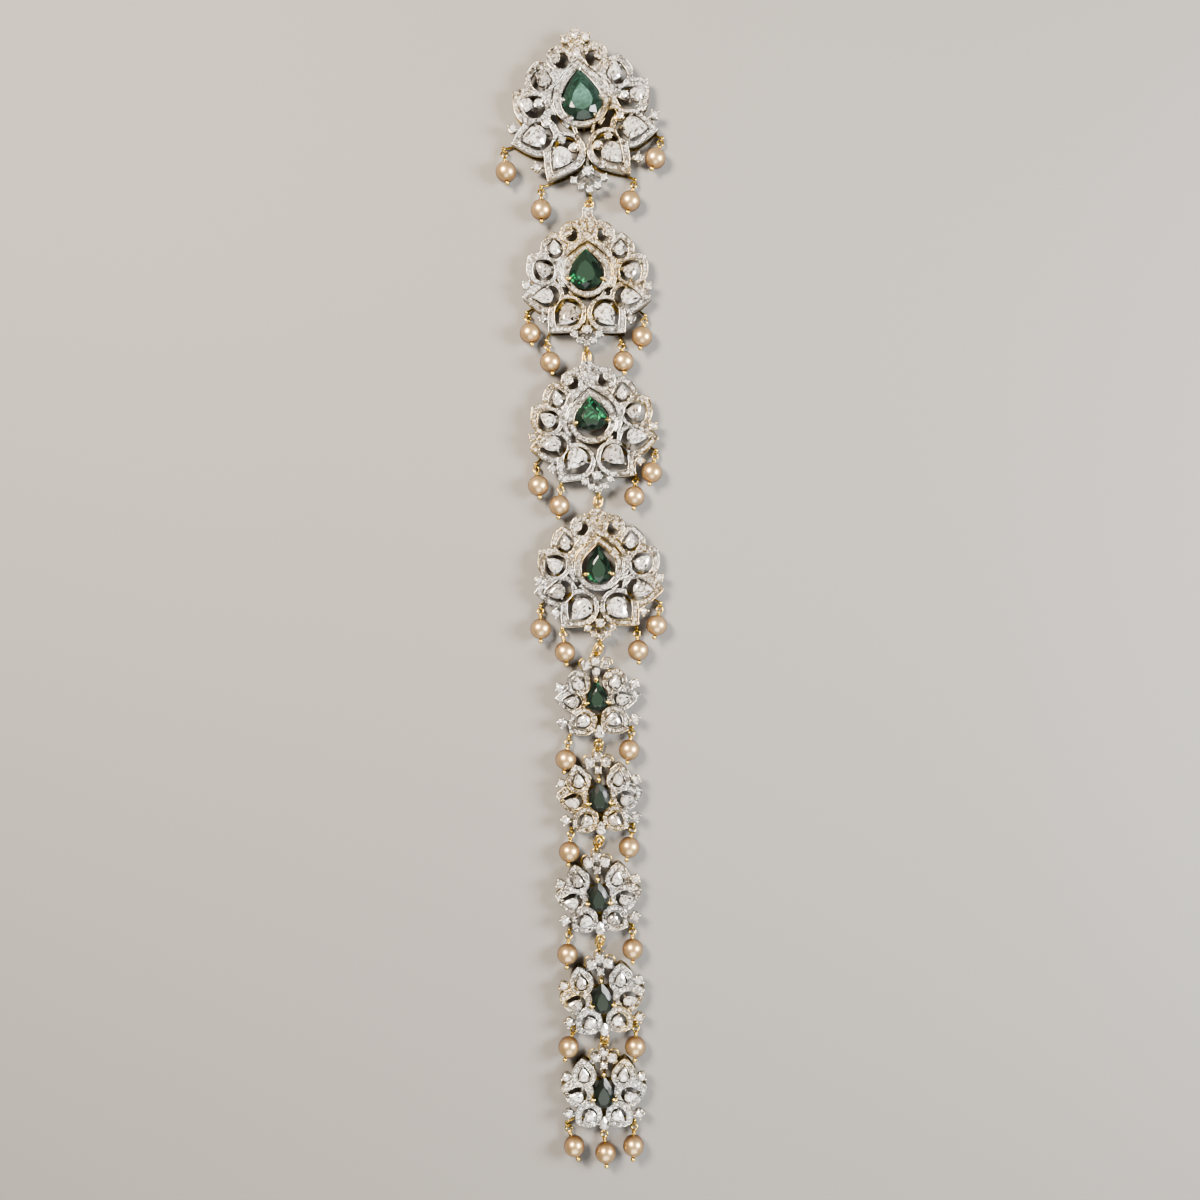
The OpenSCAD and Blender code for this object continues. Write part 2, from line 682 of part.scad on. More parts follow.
// Faces run table, star, kite, upper girdle, girdle, lower girdle and pavilion
function gem_faces(n) =
    let (
        half = n / 2,
        s0 = half,
        r0 = n,
        g0 = 2 * n,
        k0 = 3 * n,
        tip = 3 * n + half
    )
    concat(
        [[for (k = [0:half - 1]) k]],
        [for (k = [0:half - 1]) [k, s0 + k, (k + 1) % half]],
        [for (k = [0:half - 1]) [k, s0 + (k + half - 1) % half, r0 + 2 * k]],
        [for (k = [0:half - 1]) [k, r0 + 2 * k, s0 + k]],
        [for (k = [0:half - 1]) [s0 + k, r0 + 2 * k, r0 + 2 * k + 1]],
        [for (k = [0:half - 1]) [s0 + k, r0 + 2 * k + 1, r0 + (2 * k + 2) % n]],
        [for (i = [0:n - 1]) [r0 + i, g0 + i, g0 + (i + 1) % n]],
        [for (i = [0:n - 1]) [r0 + i, g0 + (i + 1) % n, r0 + (i + 1) % n]],
        [for (k = [0:half - 1]) [g0 + 2 * k, k0 + k, g0 + 2 * k + 1]],
        [for (k = [0:half - 1]) [g0 + 2 * k + 1, k0 + k, g0 + (2 * k + 2) % n]],
        [for (k = [0:half - 1]) [g0 + 2 * k, k0 + (k + half - 1) % half, tip]],
        [for (k = [0:half - 1]) [g0 + 2 * k, tip, k0 + k]]
    );

// A round stone, turned: table, crown, girdle and cone
module round_stone(r) {
    table_z = (girdle_share + crown_share) * r;
    rotate_extrude($fn = round_fn) polygon([
        [0, -stone_depth * r], [r, 0], [r, girdle_share * r], [table_w * r, table_z], [0, table_z]
    ]);
}

module center_stone(i) {
    row = medallions[i];
    stone = center_stones[i];
    color(emerald_green)
        translate([row[0], row[1], top_front + center_up]) rotate(row[2])
            at(stone) brilliant(stone[3], stone[4], center_n);
}

module side_stones(i) {
    row = medallions[i];
    style = row[3];
    color(clear_stone) translate([row[0], row[1], top_mid + girdle_up]) rotate(row[2]) {
        both_sides() {
            for (stone = pear_stones[row[4]]) at(stone) brilliant(stone[3], stone[4], side_n);
            for (stone = side_rounds[style]) translate([stone[0], stone[1], 0]) round_stone(stone[2]);
        }
        for (stone = mid_rounds[style]) translate([0, stone[0], 0]) round_stone(stone[1]);
        for (stone = mid_pears[style]) at(stone) brilliant(stone[3], stone[4], side_n);
    }
}

// Turns a drop's own frame, pin along Y with the eye ring at +Y, to its place
module at_drop(d) {
    translate([d[1], d[2], pearl_r]) rotate([0, 0, d[3]]) rotate([-drop_tilt(d), 0, 0]) children();
}

module pearl(i) {
    color(pearl_cream) at_drop(drops[i]) difference() {
        sphere(r = pearl_r, $fn = pearl_fn);
        rotate([90, 0, 0]) cylinder(h = 3 * pearl_r, r = drill_r, center = true, $fn = round_fn);
    }
}

module drop_pins() {
    color(yellow_gold) for (d = drops) {
        at_drop(d) {
            ball_y = ball_in - pearl_r - pin_ball_r;
            neck_low = pearl_r + neck_gaps[0];
            neck_high = d[4] - eye_r - neck_gaps[1];
            rod([0, ball_y, 0], [0, d[4] - eye_r, 0], pin_r);
            translate([0, ball_y, 0]) sphere(r = pin_ball_r, $fn = round_fn);
            rod([0, neck_low, 0], [0, neck_high, 0], neck_r);
            translate([0, d[4], 0]) ring(eye_r, eye_wire_r);
        }
    }
}

// A point on a medallion's middle line, in the plan of the whole
function placed(i, y) =
    let (row = medallions[i]) [row[0] - y * sin(row[2]), row[1] + y * cos(row[2])];

// An oval ring that lies flat through the loops of two medallions
module link(i) {
    from = placed(i, medallions[i][7]);
    to = placed(i + 1, medallions[i + 1][6]);
    way = to - from;
    straight = norm(way) - 2 * link_r;
    wire_r = link_wire_r - link_thin;
    rod_y = [link_in - link_r, -link_in - link_r - straight];
    color(yellow_gold) translate([from[0], from[1], loop_z]) rotate(atan2(way[1], way[0]) + 90) {
        for (side = [-1, 1]) {
            rod([side * link_r, rod_y[0], 0], [side * link_r, rod_y[1], 0], wire_r);
        }
        translate([0, -link_r, 0]) half_ring();
        translate([0, -link_r - straight, 0]) rotate(180) half_ring();
    }
}

module half_ring() {
    rotate_extrude(angle = 180, $fn = round_fn)
        translate([link_r, 0]) circle(r = link_wire_r, $fn = round_fn);
}

frame(0);  // frame_1
frame(1);  // frame_2
frame(2);  // frame_3
frame(3);  // frame_4
frame(4);  // frame_5
frame(5);  // frame_6
frame(6);  // frame_7
frame(7);  // frame_8
frame(8);  // frame_9
center_stone(0);  // center_stone_1
center_stone(1);  // center_stone_2
center_stone(2);  // center_stone_3
center_stone(3);  // center_stone_4
center_stone(4);  // center_stone_5
center_stone(5);  // center_stone_6
center_stone(6);  // center_stone_7
center_stone(7);  // center_stone_8
center_stone(8);  // center_stone_9
side_stones(0);  // side_stones_1
side_stones(1);  // side_stones_2
side_stones(2);  // side_stones_3
side_stones(3);  // side_stones_4
for (i = [4:8]) side_stones(i);  // side_stones_small
pearl(0);  // pearl_1
pearl(1);  // pearl_2
pearl(2);  // pearl_3
pearl(3);  // pearl_4
pearl(4);  // pearl_5
pearl(5);  // pearl_6
pearl(6);  // pearl_7
pearl(7);  // pearl_8
pearl(8);  // pearl_9
pearl(9);  // pearl_10
pearl(10);  // pearl_11
pearl(11);  // pearl_12
pearl(12);  // pearl_13
pearl(13);  // pearl_14
pearl(14);  // pearl_15
pearl(15);  // pearl_16
pearl(16);  // pearl_17
pearl(17);  // pearl_18
pearl(18);  // pearl_19
pearl(19);  // pearl_20
pearl(20);  // pearl_21
pearl(21);  // pearl_22
pearl(22);  // pearl_23
pearl(23);  // pearl_24
pearl(24);  // pearl_25
pearl(25);  // pearl_26
pearl(26);  // pearl_27
link(0);  // link_1
link(1);  // link_2
link(2);  // link_3
link(3);  // link_4
link(4);  // link_5
link(5);  // link_6
link(6);  // link_7
link(7);  // link_8
drop_pins();
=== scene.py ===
# Braid ornament: nine stone-set medallions linked in a chain, with champagne pearl drops.
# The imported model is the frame. This script adds the pave, the cut stones, the pearls and every finish.
import math
import random

import bpy
import numpy as np
from mathutils import Matrix, Vector
from mathutils.kdtree import KDTree


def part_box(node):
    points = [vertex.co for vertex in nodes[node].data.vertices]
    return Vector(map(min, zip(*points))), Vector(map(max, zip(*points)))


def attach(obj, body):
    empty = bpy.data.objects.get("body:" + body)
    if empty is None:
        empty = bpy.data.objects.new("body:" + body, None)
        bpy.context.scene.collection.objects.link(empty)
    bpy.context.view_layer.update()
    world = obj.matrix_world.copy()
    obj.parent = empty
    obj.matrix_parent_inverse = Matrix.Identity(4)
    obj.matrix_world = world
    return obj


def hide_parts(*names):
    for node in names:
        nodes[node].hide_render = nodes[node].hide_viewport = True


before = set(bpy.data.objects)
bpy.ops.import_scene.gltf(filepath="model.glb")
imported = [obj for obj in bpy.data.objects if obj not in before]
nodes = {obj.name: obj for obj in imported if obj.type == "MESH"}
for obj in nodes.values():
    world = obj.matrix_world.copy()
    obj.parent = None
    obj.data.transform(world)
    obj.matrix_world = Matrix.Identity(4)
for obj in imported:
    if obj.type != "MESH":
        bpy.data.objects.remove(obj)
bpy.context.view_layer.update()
mm = 0.001  # everything below is in millimetres until it becomes a mesh
frameNames = sorted(name for name in nodes if name.startswith("frame_"))
centerNames = sorted(name for name in nodes if name.startswith("center_stone_"))
sideNames = sorted(name for name in nodes if name.startswith("side_stones"))
pearlNames = sorted((name for name in nodes if name.startswith("pearl_")), key=lambda name: int(name[6:]))
linkNames = sorted(name for name in nodes if name.startswith("link_"))
bpy.ops.object.select_all(action="DESELECT")
print("frame loaded:", len(nodes), "nodes")


# plain helpers
def hexColor(code):
    channels = [int(code[i:i + 2], 16) / 255 for i in (1, 3, 5)]
    linear = [c / 12.92 if c <= 0.04045 else ((c + 0.055) / 1.055) ** 2.4 for c in channels]
    return (*linear, 1.0)


def linkInputs(tree, node, links):
    # a source is a socket, or a node for its first output in use
    for key, source in links.items():
        if isinstance(source, bpy.types.Node):
            source = next(output for output in source.outputs if not output.is_unavailable)
        tree.links.new(source, node.inputs[key])


def addNode(tree, kind, settings=None, links=None):
    # a number names an input by its place, and stops are a color ramp's positions and colours
    node = tree.nodes.new("ShaderNode" + kind)
    for key, value in (settings or {}).items():
        if key == "stops":
            elements = node.color_ramp.elements
            for index, (position, code) in enumerate(value):
                stop = elements[index] if index < 2 else elements.new(position)
                stop.position = position
                stop.color = hexColor(code)
        elif key == "interpolation":
            node.color_ramp.interpolation = value
        elif isinstance(key, int) or key in node.inputs:
            node.inputs[key].default_value = value
        else:
            setattr(node, key, value)
    linkInputs(tree, node, links or {})
    return node


def startMaterial(name, settings):
    material = bpy.data.materials.new(name)
    material.use_nodes = True
    tree = material.node_tree
    shader = tree.nodes["Principled BSDF"]
    for key, value in settings.items():
        shader.inputs[key].default_value = value
    return material, tree, shader


def nodeTriangles(name):
    # a CAD node's corners in mm and its triangles
    mesh = nodes[name].data
    mesh.calc_loop_triangles()
    corners = np.empty(len(mesh.vertices) * 3)
    mesh.vertices.foreach_get("co", corners)
    triangles = np.empty(len(mesh.loop_triangles) * 3, int)
    mesh.loop_triangles.foreach_get("vertices", triangles)
    return corners.reshape(-1, 3) / mm, triangles.reshape(-1, 3)


def islands(name):
    # the separate solids of a node, as arrays of points in mm
    corners, triangles = nodeTriangles(name)
    points, index = np.unique(np.round(corners, 3), axis=0, return_inverse=True)
    faces = index.ravel()[triangles]
    label = np.arange(len(points))
    while True:
        spread = label.copy()
        np.minimum.at(spread, faces.ravel(), np.repeat(label[faces].min(1), 3))
        spread = spread[spread]
        if (spread == label).all():
            return [points[label == k] for k in np.unique(label)]
        label = spread


def finishPiece(piece, finish, slotName, *replaced):
    piece.data.materials.clear()
    piece.data.materials.append(finish)
    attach(piece, "root")
    if replaced:
        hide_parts(*replaced)


def scatter(name, master, places, finish, slotName, *replaced, tints=None):
    # one joined piece with a copy of the master at each 4x4 place, sizes in mm
    source = master.data
    corners = np.empty(len(source.vertices) * 3)
    source.vertices.foreach_get("co", corners)
    corners = np.c_[corners.reshape(-1, 3), np.ones(len(source.vertices))]
    polygons = [tuple(p.vertices) for p in source.polygons]
    smooth = [p.use_smooth for p in source.polygons]
    matrices = np.array([np.array(place) for place in places])
    moved = np.einsum("nij,vj->nvi", matrices, corners)[:, :, :3] * mm
    count = len(corners)
    faces = [[v + k * count for v in polygon] for k in range(len(places)) for polygon in polygons]
    mesh = bpy.data.meshes.new(name)
    mesh.from_pydata(moved.reshape(-1, 3).tolist(), [], faces)
    mesh.polygons.foreach_set("use_smooth", smooth * len(places))
    if tints is not None:
        layer = mesh.attributes.new("tint", "FLOAT", "POINT")
        layer.data.foreach_set("value", np.repeat(tints, count).astype(np.float32))
    mesh.update()
    piece = bpy.data.objects.new(name, mesh)
    bpy.context.scene.collection.objects.link(piece)
    finishPiece(piece, finish, slotName, *replaced)


def editAll():
    bpy.ops.object.mode_set(mode="EDIT")
    bpy.ops.mesh.select_all(action="SELECT")


def pick(kind, test):
    # in edit mode, selects the active object's vertices or faces that pass a test
    bpy.ops.object.mode_set(mode="EDIT")
    bpy.ops.mesh.select_mode(type="VERT" if kind == "vertices" else "FACE")
    bpy.ops.mesh.select_all(action="DESELECT")
    bpy.ops.object.mode_set(mode="OBJECT")
    for element in getattr(bpy.context.object.data, kind):
        element.select = test(element)
    bpy.ops.object.mode_set(mode="EDIT")


def resizeBy(size):
    bpy.ops.transform.resize(value=size, center_override=(0, 0, 0))


def turnBy(angle, axis):
    bpy.ops.transform.rotate(value=angle, orient_axis=axis, center_override=(0, 0, 0))


def faceOut():
    editAll()
    bpy.ops.mesh.normals_make_consistent(inside=False)


def closeRound(steps):
    # spins the wire or outline being edited once round and joins its ends
    editAll()
    bpy.ops.mesh.spin(steps=steps, angle=math.tau, center=(0, 0, 0), axis=(0, 0, 1))
    editAll()
    bpy.ops.mesh.remove_doubles(threshold=0.001)
    faceOut()


def takeMaster(name, smooth=True):
    # the object just modelled becomes a master, from which pieces are copied
    bpy.ops.object.mode_set(mode="OBJECT")
    if smooth:
        bpy.ops.object.shade_smooth()
    bpy.ops.object.transform_apply(location=True, rotation=True, scale=True)
    master = bpy.context.object
    master.name = name
    masters.append(master)
    return master


masters = []


# stage, light and camera
stage = {
    "floorSize": 14.0,  # m, and the lamps and the wash are in metres too
    "floorColor": "#72706C",
    "washFrom": 0.3,  # from the middle
    "washTo": 0.95,
    "washLight": 0.78,
    "washColor": "#E6E1DA",
    "skyColor": "#D5D6D8",
    "skyOverhead": 0.15,  # dark, for depth in the metal and stones
    "skyHorizon": 0.8,
    "skyRise": 0.2,  # sine of the angle above the horizon where it is dark
    "viewWidth": 408.0,  # mm of the plates' level that the picture takes in
    "plateLevel": 5.2,
    "cameraAt": (6.46, -0.34, 405.2),  # straight above the picture's middle
    "sensor": 36.0,
    "lamps": {
        "window": {"at": (-0.30, 0.26, 0.52), "size": 0.20, "power": 20.0, "color": "#FFEEDA"},
        "side": {"at": (0.56, 0.04, 0.40), "size": 0.26, "power": 19.5, "color": "#FFFFFF"},
        "foot": {"at": (0.06, -0.52, 0.46), "size": 0.5, "power": 4.0, "color": "#FFFFFF"},
    },
}
bpy.ops.mesh.primitive_plane_add(size=stage["floorSize"])
floor = bpy.context.object
floor.name = "floor"
paper, tree, shader = startMaterial("mattePaperFloor", {
    "Base Color": hexColor(stage["floorColor"]), "Roughness": 0.9, "Specular IOR Level": 0.2,
    "Emission Color": hexColor(stage["washColor"])})
# the paper gets a wash of light of its own past the picture's edge, so it stays pale to the horizon
place = addNode(tree, "TexCoord")
away = addNode(tree, "VectorMath", {"operation": "LENGTH"}, {0: place.outputs["Object"]})
wash = addNode(tree, "MapRange", {
    "interpolation_type": "SMOOTHSTEP", "From Min": stage["washFrom"], "From Max": stage["washTo"],
    "To Max": stage["washLight"]}, {"Value": away})
linkInputs(tree, shader, {"Emission Strength": wash})
paper.cycles.emission_sampling = "NONE"  # it is seen, but hardly lights anything
floor.data.materials.append(paper)

cameraData = bpy.data.cameras.new("camera")
cameraData.sensor_width = stage["sensor"]
cameraData.lens = stage["sensor"] * (stage["cameraAt"][2] - stage["plateLevel"]) / stage["viewWidth"]
cameraData.clip_start = 0.01
camera = bpy.data.objects.new("camera", cameraData)
camera.location = Vector(stage["cameraAt"]) * mm
bpy.context.scene.collection.objects.link(camera)
bpy.context.scene.camera = camera

for lampName, row in stage["lamps"].items():
    lampData = bpy.data.lights.new(lampName, "AREA")
    lampData.size = row["size"]
    lampData.energy = row["power"]
    lampData.color = hexColor(row["color"])[:3]
    lamp = bpy.data.objects.new(lampName, lampData)
    lamp.location = row["at"]
    lamp.rotation_euler = (-Vector(row["at"])).to_track_quat("-Z", "Y").to_euler()
    bpy.context.scene.collection.objects.link(lamp)
world = bpy.data.worlds.new("studio")
world.use_nodes = True
tree = world.node_tree
background = tree.nodes["Background"]
background.inputs["Color"].default_value = hexColor(stage["skyColor"])
way = addNode(tree, "TexCoord")
height = addNode(tree, "SeparateXYZ", {}, {0: way.outputs["Generated"]})
skyLight = addNode(tree, "MapRange", {
    "interpolation_type": "SMOOTHSTEP", "From Max": stage["skyRise"], "To Min": stage["skyHorizon"],
    "To Max": stage["skyOverhead"]}, {"Value": height.outputs["Z"]})
linkInputs(tree, background, {"Strength": skyLight})
bpy.context.scene.world = world
print("stage, light and camera set")


# finishes
pattern = {
    "goldTop": 3.3,  # mm up, where the gold begins to give way to rhodium, and where it ends
    "rhodiumFoot": 4.3,
    "warmPatch": 20.0,  # sizes in mm
    "soot": 1.1,
    "castGrain": 0.5,
    "castDepth": 0.08,
    "wireWear": 1.5,
    "greenSliver": 0.6,
    "litRegion": 5.0,
    "heartFoot": 165.5,  # y over which the painted sheen on the largest stone fades out
    "heartTop": 170.5,
    "nacreCloud": 4.0,
    "nacreDimple": 0.8,
    "dimpleDepth": 0.05,
}


def rhodiumOverGold(name, soot, roughness):
    # cast silver alloy, gilt all over and rhodium plated on its set tops: cool white above, warm gold below
    material, tree, shader = startMaterial(name, {"Metallic": 1.0, "Roughness": roughness})
    place = addNode(tree, "TexCoord").outputs["Object"]
    height = addNode(tree, "SeparateXYZ", {}, {0: place})
    rise = addNode(tree, "MapRange", {
        "From Min": pattern["goldTop"] * mm, "From Max": pattern["rhodiumFoot"] * mm},
        {"Value": height.outputs["Z"]})
    patches = addNode(tree, "TexNoise", {"Scale": 1 / (pattern["warmPatch"] * mm), "Detail": 1.0},
                      {"Vector": place})
    warmth = addNode(tree, "MapRange", {"From Min": 0.44, "From Max": 0.64}, {"Value": patches})
    white = addNode(tree, "Mix", {"data_type": "RGBA", 6: hexColor("#DEDCD7"), 7: hexColor("#DCC288")},
                    {0: warmth})
    plated = addNode(tree, "Mix", {"data_type": "RGBA", 6: hexColor("#D4AE46")}, {0: rise, 7: white})
    # painted shade: the metal between the stones is darkened in noise patches, where shade falls in the low
    # places
    low = addNode(tree, "TexNoise", {"Scale": 1 / (pattern["soot"] * mm)}, {"Vector": place})
    dark = addNode(tree, "MapRange", {
        "From Min": 0.35, "From Max": 0.7, "To Min": soot[0], "To Max": soot[1]}, {"Value": low})
    shade = addNode(tree, "Mix", {"data_type": "RGBA", "blend_type": "MULTIPLY", 0: 1.0},
                    {6: plated, 7: dark})
    grain = addNode(tree, "TexNoise", {"Scale": 1 / (pattern["castGrain"] * mm), "Detail": 3.0},
                    {"Vector": place})
    bump = addNode(tree, "Bump", {"Strength": 0.4, "Distance": pattern["castDepth"] * mm}, {"Height": grain})
    linkInputs(tree, shader, {"Base Color": shade, "Normal": bump})
    return material


def giltWire():
    # drawn wire with yellow gold plating: bright and warm, with duller spots of wear
    material, tree, shader = startMaterial("giltWire", {"Metallic": 1.0})
    place = addNode(tree, "TexCoord").outputs["Object"]
    wear = addNode(tree, "TexNoise", {"Scale": 1 / (pattern["wireWear"] * mm), "Detail": 3.0},
                   {"Vector": place})
    gold = addNode(tree, "Mix", {"data_type": "RGBA", 6: hexColor("#BE9530"), 7: hexColor("#E2C45C")},
                   {0: wear})
    rough = addNode(tree, "MapRange", {"To Min": 0.12, "To Max": 0.32}, {"Value": wear})
    linkInputs(tree, shader, {"Base Color": gold, "Roughness": rough})
    return material


def facetSlivers(tree, place, size):
    # chance values for painted reflections, what each flat facet shows of the facets behind it: one for the
    # facet and two for each sliver
    surface = addNode(tree, "NewGeometry")
    snapped = addNode(tree, "VectorMath", {"operation": "SNAP", 1: (0.05, 0.05, 0.05)},
                      {0: surface.outputs["True Normal"]})
    facet = addNode(tree, "TexWhiteNoise", {}, {"Vector": snapped})
    turn = addNode(tree, "Math", {"operation": "MULTIPLY", 1: math.tau}, {0: facet})
    turned = addNode(tree, "VectorRotate", {"rotation_type": "Z_AXIS"}, {"Vector": place, "Angle": turn})
    narrowed = addNode(tree, "Mapping", {"Scale": (1.0, 0.42, 0.6)}, {"Vector": turned})
    cells = addNode(tree, "TexVoronoi", {"Scale": 1 / (size * mm)}, {"Vector": narrowed})
    cell = addNode(tree, "SeparateXYZ", {}, {0: cells.outputs["Color"]})
    return facet, cell.outputs["X"], cell.outputs["Y"]


def cubicZirconia(name, sliver, stops, settings):
    # cut and polished cubic zirconia: painted reflections in its colour, light and dark slivers, stand in for
    # what its back facets throw up through the crown
    material, tree, shader = startMaterial(name, settings)
    place = addNode(tree, "TexCoord").outputs["Object"]
    facet, chance = facetSlivers(tree, place, sliver)[:2]
    part = addNode(tree, "Math", {"operation": "MULTIPLY", 1: 0.6}, {0: chance})
    glance = addNode(tree, "Math", {"operation": "MULTIPLY_ADD", 1: 0.4}, {0: facet, 2: part})
    paintedSlivers = addNode(tree, "ValToRGB", {"stops": stops, "interpolation": "CONSTANT"}, {0: glance})
    # painted sparkle: each stone is a little lighter or darker than the next, as if it caught more or less of
    # the light
    tint = addNode(tree, "Attribute", {"attribute_name": "tint"})
    body = addNode(tree, "ValToRGB", {
        "stops": ((0, "#FFFFFF"), (0.5, "#F4F2EF"), (0.8, "#B4AEA6"), (1, "#5A544C"))},
        {0: tint.outputs["Fac"]})
    # and a painted reflection of the gilt below warms the stones in patches, on noise the size of the
    # plating's warm patches
    patches = addNode(tree, "TexNoise", {"Scale": 1 / (pattern["warmPatch"] * mm), "Detail": 1.0},
                      {"Vector": place})
    warmth = addNode(tree, "MapRange", {"From Min": 0.42, "From Max": 0.66, "To Max": 0.45},
                     {"Value": patches})
    warm = addNode(tree, "Mix", {"data_type": "RGBA", 6: hexColor("#FFFFFF"), 7: hexColor("#F4E2C6")},
                   {0: warmth})
    shaded = addNode(tree, "Mix", {"data_type": "RGBA", "blend_type": "MULTIPLY", 0: 1.0},
                     {6: paintedSlivers, 7: body})
    warmed = addNode(tree, "Mix", {"data_type": "RGBA", "blend_type": "MULTIPLY", 0: 1.0},
                     {6: shaded, 7: warm})
    linkInputs(tree, shader, {"Base Color": warmed})
    return material


def greenCrystal():
    # dark green glass crystal, cut and polished: a grey green body, with painted green glints where a few
    # back facets light up and painted reflections on its facets
    material, tree, shader = startMaterial("cutGreenCrystal", {
        "IOR": 1.6, "Specular IOR Level": 0.1, "Transmission Weight": 0.12, "Coat Weight": 0.05,
        "Coat Roughness": 0.03})
    place = addNode(tree, "TexCoord").outputs["Object"]
    facet, first, second = facetSlivers(tree, place, pattern["greenSliver"])
    regions = addNode(tree, "TexNoise", {"Scale": 1 / (pattern["litRegion"] * mm), "Detail": 0.0},
                      {"Vector": place})
    lit = addNode(tree, "MapRange", {"From Min": 0.44, "From Max": 0.6}, {"Value": regions})
    chance = addNode(tree, "Math", {"operation": "MULTIPLY"}, {0: first, 1: lit})
    # the tint says how much of the light from below each stone lets through, and so how bright its painted
    # glints are
    clarity = addNode(tree, "Attribute", {"attribute_name": "tint"}).outputs["Fac"]
    less = addNode(tree, "Math", {"operation": "SUBTRACT", 0: 1.88}, {1: clarity})
    passed = addNode(tree, "Math", {"operation": "MINIMUM"}, {0: clarity, 1: less})
    let = addNode(tree, "Math", {"operation": "MULTIPLY"}, {0: chance, 1: passed})
    sparks = addNode(tree, "ValToRGB", {
        "stops": ((0, "#000000"), (0.3, "#020A06"), (0.5, "#042216"), (0.66, "#064C2E"), (0.8, "#0A8447")),
        "interpolation": "CONSTANT"}, {0: let})
    # the small dark stones are worn duller than the large clear ones
    worn = addNode(tree, "MapRange", {"From Min": 0.3, "To Min": 0.28, "To Max": 0.04}, {"Value": clarity})
    # painted reflection of the pale room: the flat table mirrors it most, the facets round it stay darker
    surface = addNode(tree, "NewGeometry")
    rise = addNode(tree, "SeparateXYZ", {}, {0: surface.outputs["True Normal"]})
    table = addNode(tree, "MapRange", {"From Min": 0.97, "From Max": 0.99}, {"Value": rise.outputs["Z"]})
    paintedReflection = addNode(tree, "Mix", {"data_type": "RGBA", 6: hexColor("#1B1F1B"), 7: hexColor("#1D2B22")},
                   {0: clarity})
    lean = addNode(tree, "MapRange", {"To Min": 0.12, "To Max": 0.8}, {"Value": facet})
    level = addNode(tree, "Math", {"operation": "MAXIMUM"}, {0: lean, 1: table})
    reflectionShown = addNode(tree, "Mix", {"data_type": "RGBA", "blend_type": "MULTIPLY", 0: 1.0},
                     {6: paintedReflection, 7: level})
    glow = addNode(tree, "Mix", {"data_type": "RGBA", "blend_type": "ADD", 0: 1.0}, {6: sparks, 7: reflectionShown})
    # painted sheen: the clearest stone also gets a blue-green glow on its table, fading out lower down
    paintedSheen = addNode(tree, "MapRange", {"From Min": 1.0, "From Max": 1.4}, {"Value": clarity})
    slivers = addNode(tree, "MapRange", {"To Min": 0.35}, {"Value": second})
    inner = addNode(tree, "MapRange", {"To Min": 0.12}, {"Value": table})
    spot = addNode(tree, "SeparateXYZ", {}, {0: place})
    upper = addNode(tree, "MapRange", {
        "From Min": pattern["heartFoot"] * mm, "From Max": pattern["heartTop"] * mm, "To Min": 0.25},
        {"Value": spot.outputs["Y"]})
    shown = paintedSheen
    for part in (slivers, inner, upper):
        shown = addNode(tree, "Math", {"operation": "MULTIPLY"}, {0: shown, 1: part})
    color = addNode(tree, "Mix", {"data_type": "RGBA", 7: hexColor("#4C776B")}, {0: shown, 6: glow})
    linkInputs(tree, shader, {"Base Color": color, "Roughness": worn})
    return material


def champagneNacre():
    # shell bead with many coats of nacre, which send the light back in their own colour, almost as metal
    # does, under a clear gloss
    material, tree, shader = startMaterial("champagneNacre", {
        "Roughness": 0.32, "IOR": 1.55, "Metallic": 0.85, "Coat Weight": 1.0, "Coat Roughness": 0.08,
        "Specular Tint": hexColor("#7A5632")})
    place = addNode(tree, "TexCoord").outputs["Object"]
    clouds = addNode(tree, "TexNoise", {"Scale": 1 / (pattern["nacreCloud"] * mm)}, {"Vector": place})
    body = addNode(tree, "Mix", {"data_type": "RGBA", 6: hexColor("#BF9B62"), 7: hexColor("#DABA8A")},
                   {0: clouds})
    # painted shade: the flanks, away from the polished top, are darkened to brown
    surface = addNode(tree, "NewGeometry")
    rise = addNode(tree, "SeparateXYZ", {}, {0: surface.outputs["Normal"]})
    depth = addNode(tree, "MapRange", {"From Min": 0.92, "From Max": 0.1}, {"Value": rise.outputs["Z"]})
    flankShade = addNode(tree, "Mix", {"data_type": "RGBA", 6: hexColor("#FFFFFF"), 7: hexColor("#8F7350")},
                    {0: depth})
    shadedNacre = addNode(tree, "Mix", {"data_type": "RGBA", "blend_type": "MULTIPLY", 0: 1.0},
                     {6: body, 7: flankShade})
    dimples = addNode(tree, "TexNoise", {"Scale": 1 / (pattern["nacreDimple"] * mm)}, {"Vector": place})
    bump = addNode(tree, "Bump", {"Strength": 0.15, "Distance": pattern["dimpleDepth"] * mm},
                   {"Height": dimples})
    linkInputs(tree, shader, {"Base Color": shadedNacre, "Normal": bump})
    return material


# the plates between the stones take deep painted shade, the rims, beads, claws and baskets only a little
plates = rhodiumOverGold("rhodiumOverGiltSilver", (0.1, 0.6), 0.28)
rhodium = rhodiumOverGold("polishedRhodium", (0.86, 1.0), 0.16)
gilt = giltWire()
paveCrystal = cubicZirconia("paveZirconia", 0.3, (
    (0, "#1F1D1B"), (0.24, "#7A7772"), (0.4, "#D6D3CF"), (0.56, "#FFFFFF")), {
    "Roughness": 0.08, "IOR": 2.15, "Metallic": 0.35})
clearCrystal = cubicZirconia("cutZirconia", 0.45, (
    (0, "#2C2926"), (0.2, "#77736D"), (0.36, "#CCC9C5"), (0.55, "#FFFFFF")), {
    "Roughness": 0.04, "IOR": 2.15, "Metallic": 0.25, "Transmission Weight": 0.25})
green = greenCrystal()
nacre = champagneNacre()
for names, finish in ((frameNames, plates), (linkNames + ["drop_pins"], gilt)):
    for name in names:
        nodes[name].data.materials.clear()
        nodes[name].data.materials.append(finish)
print("finishes made")


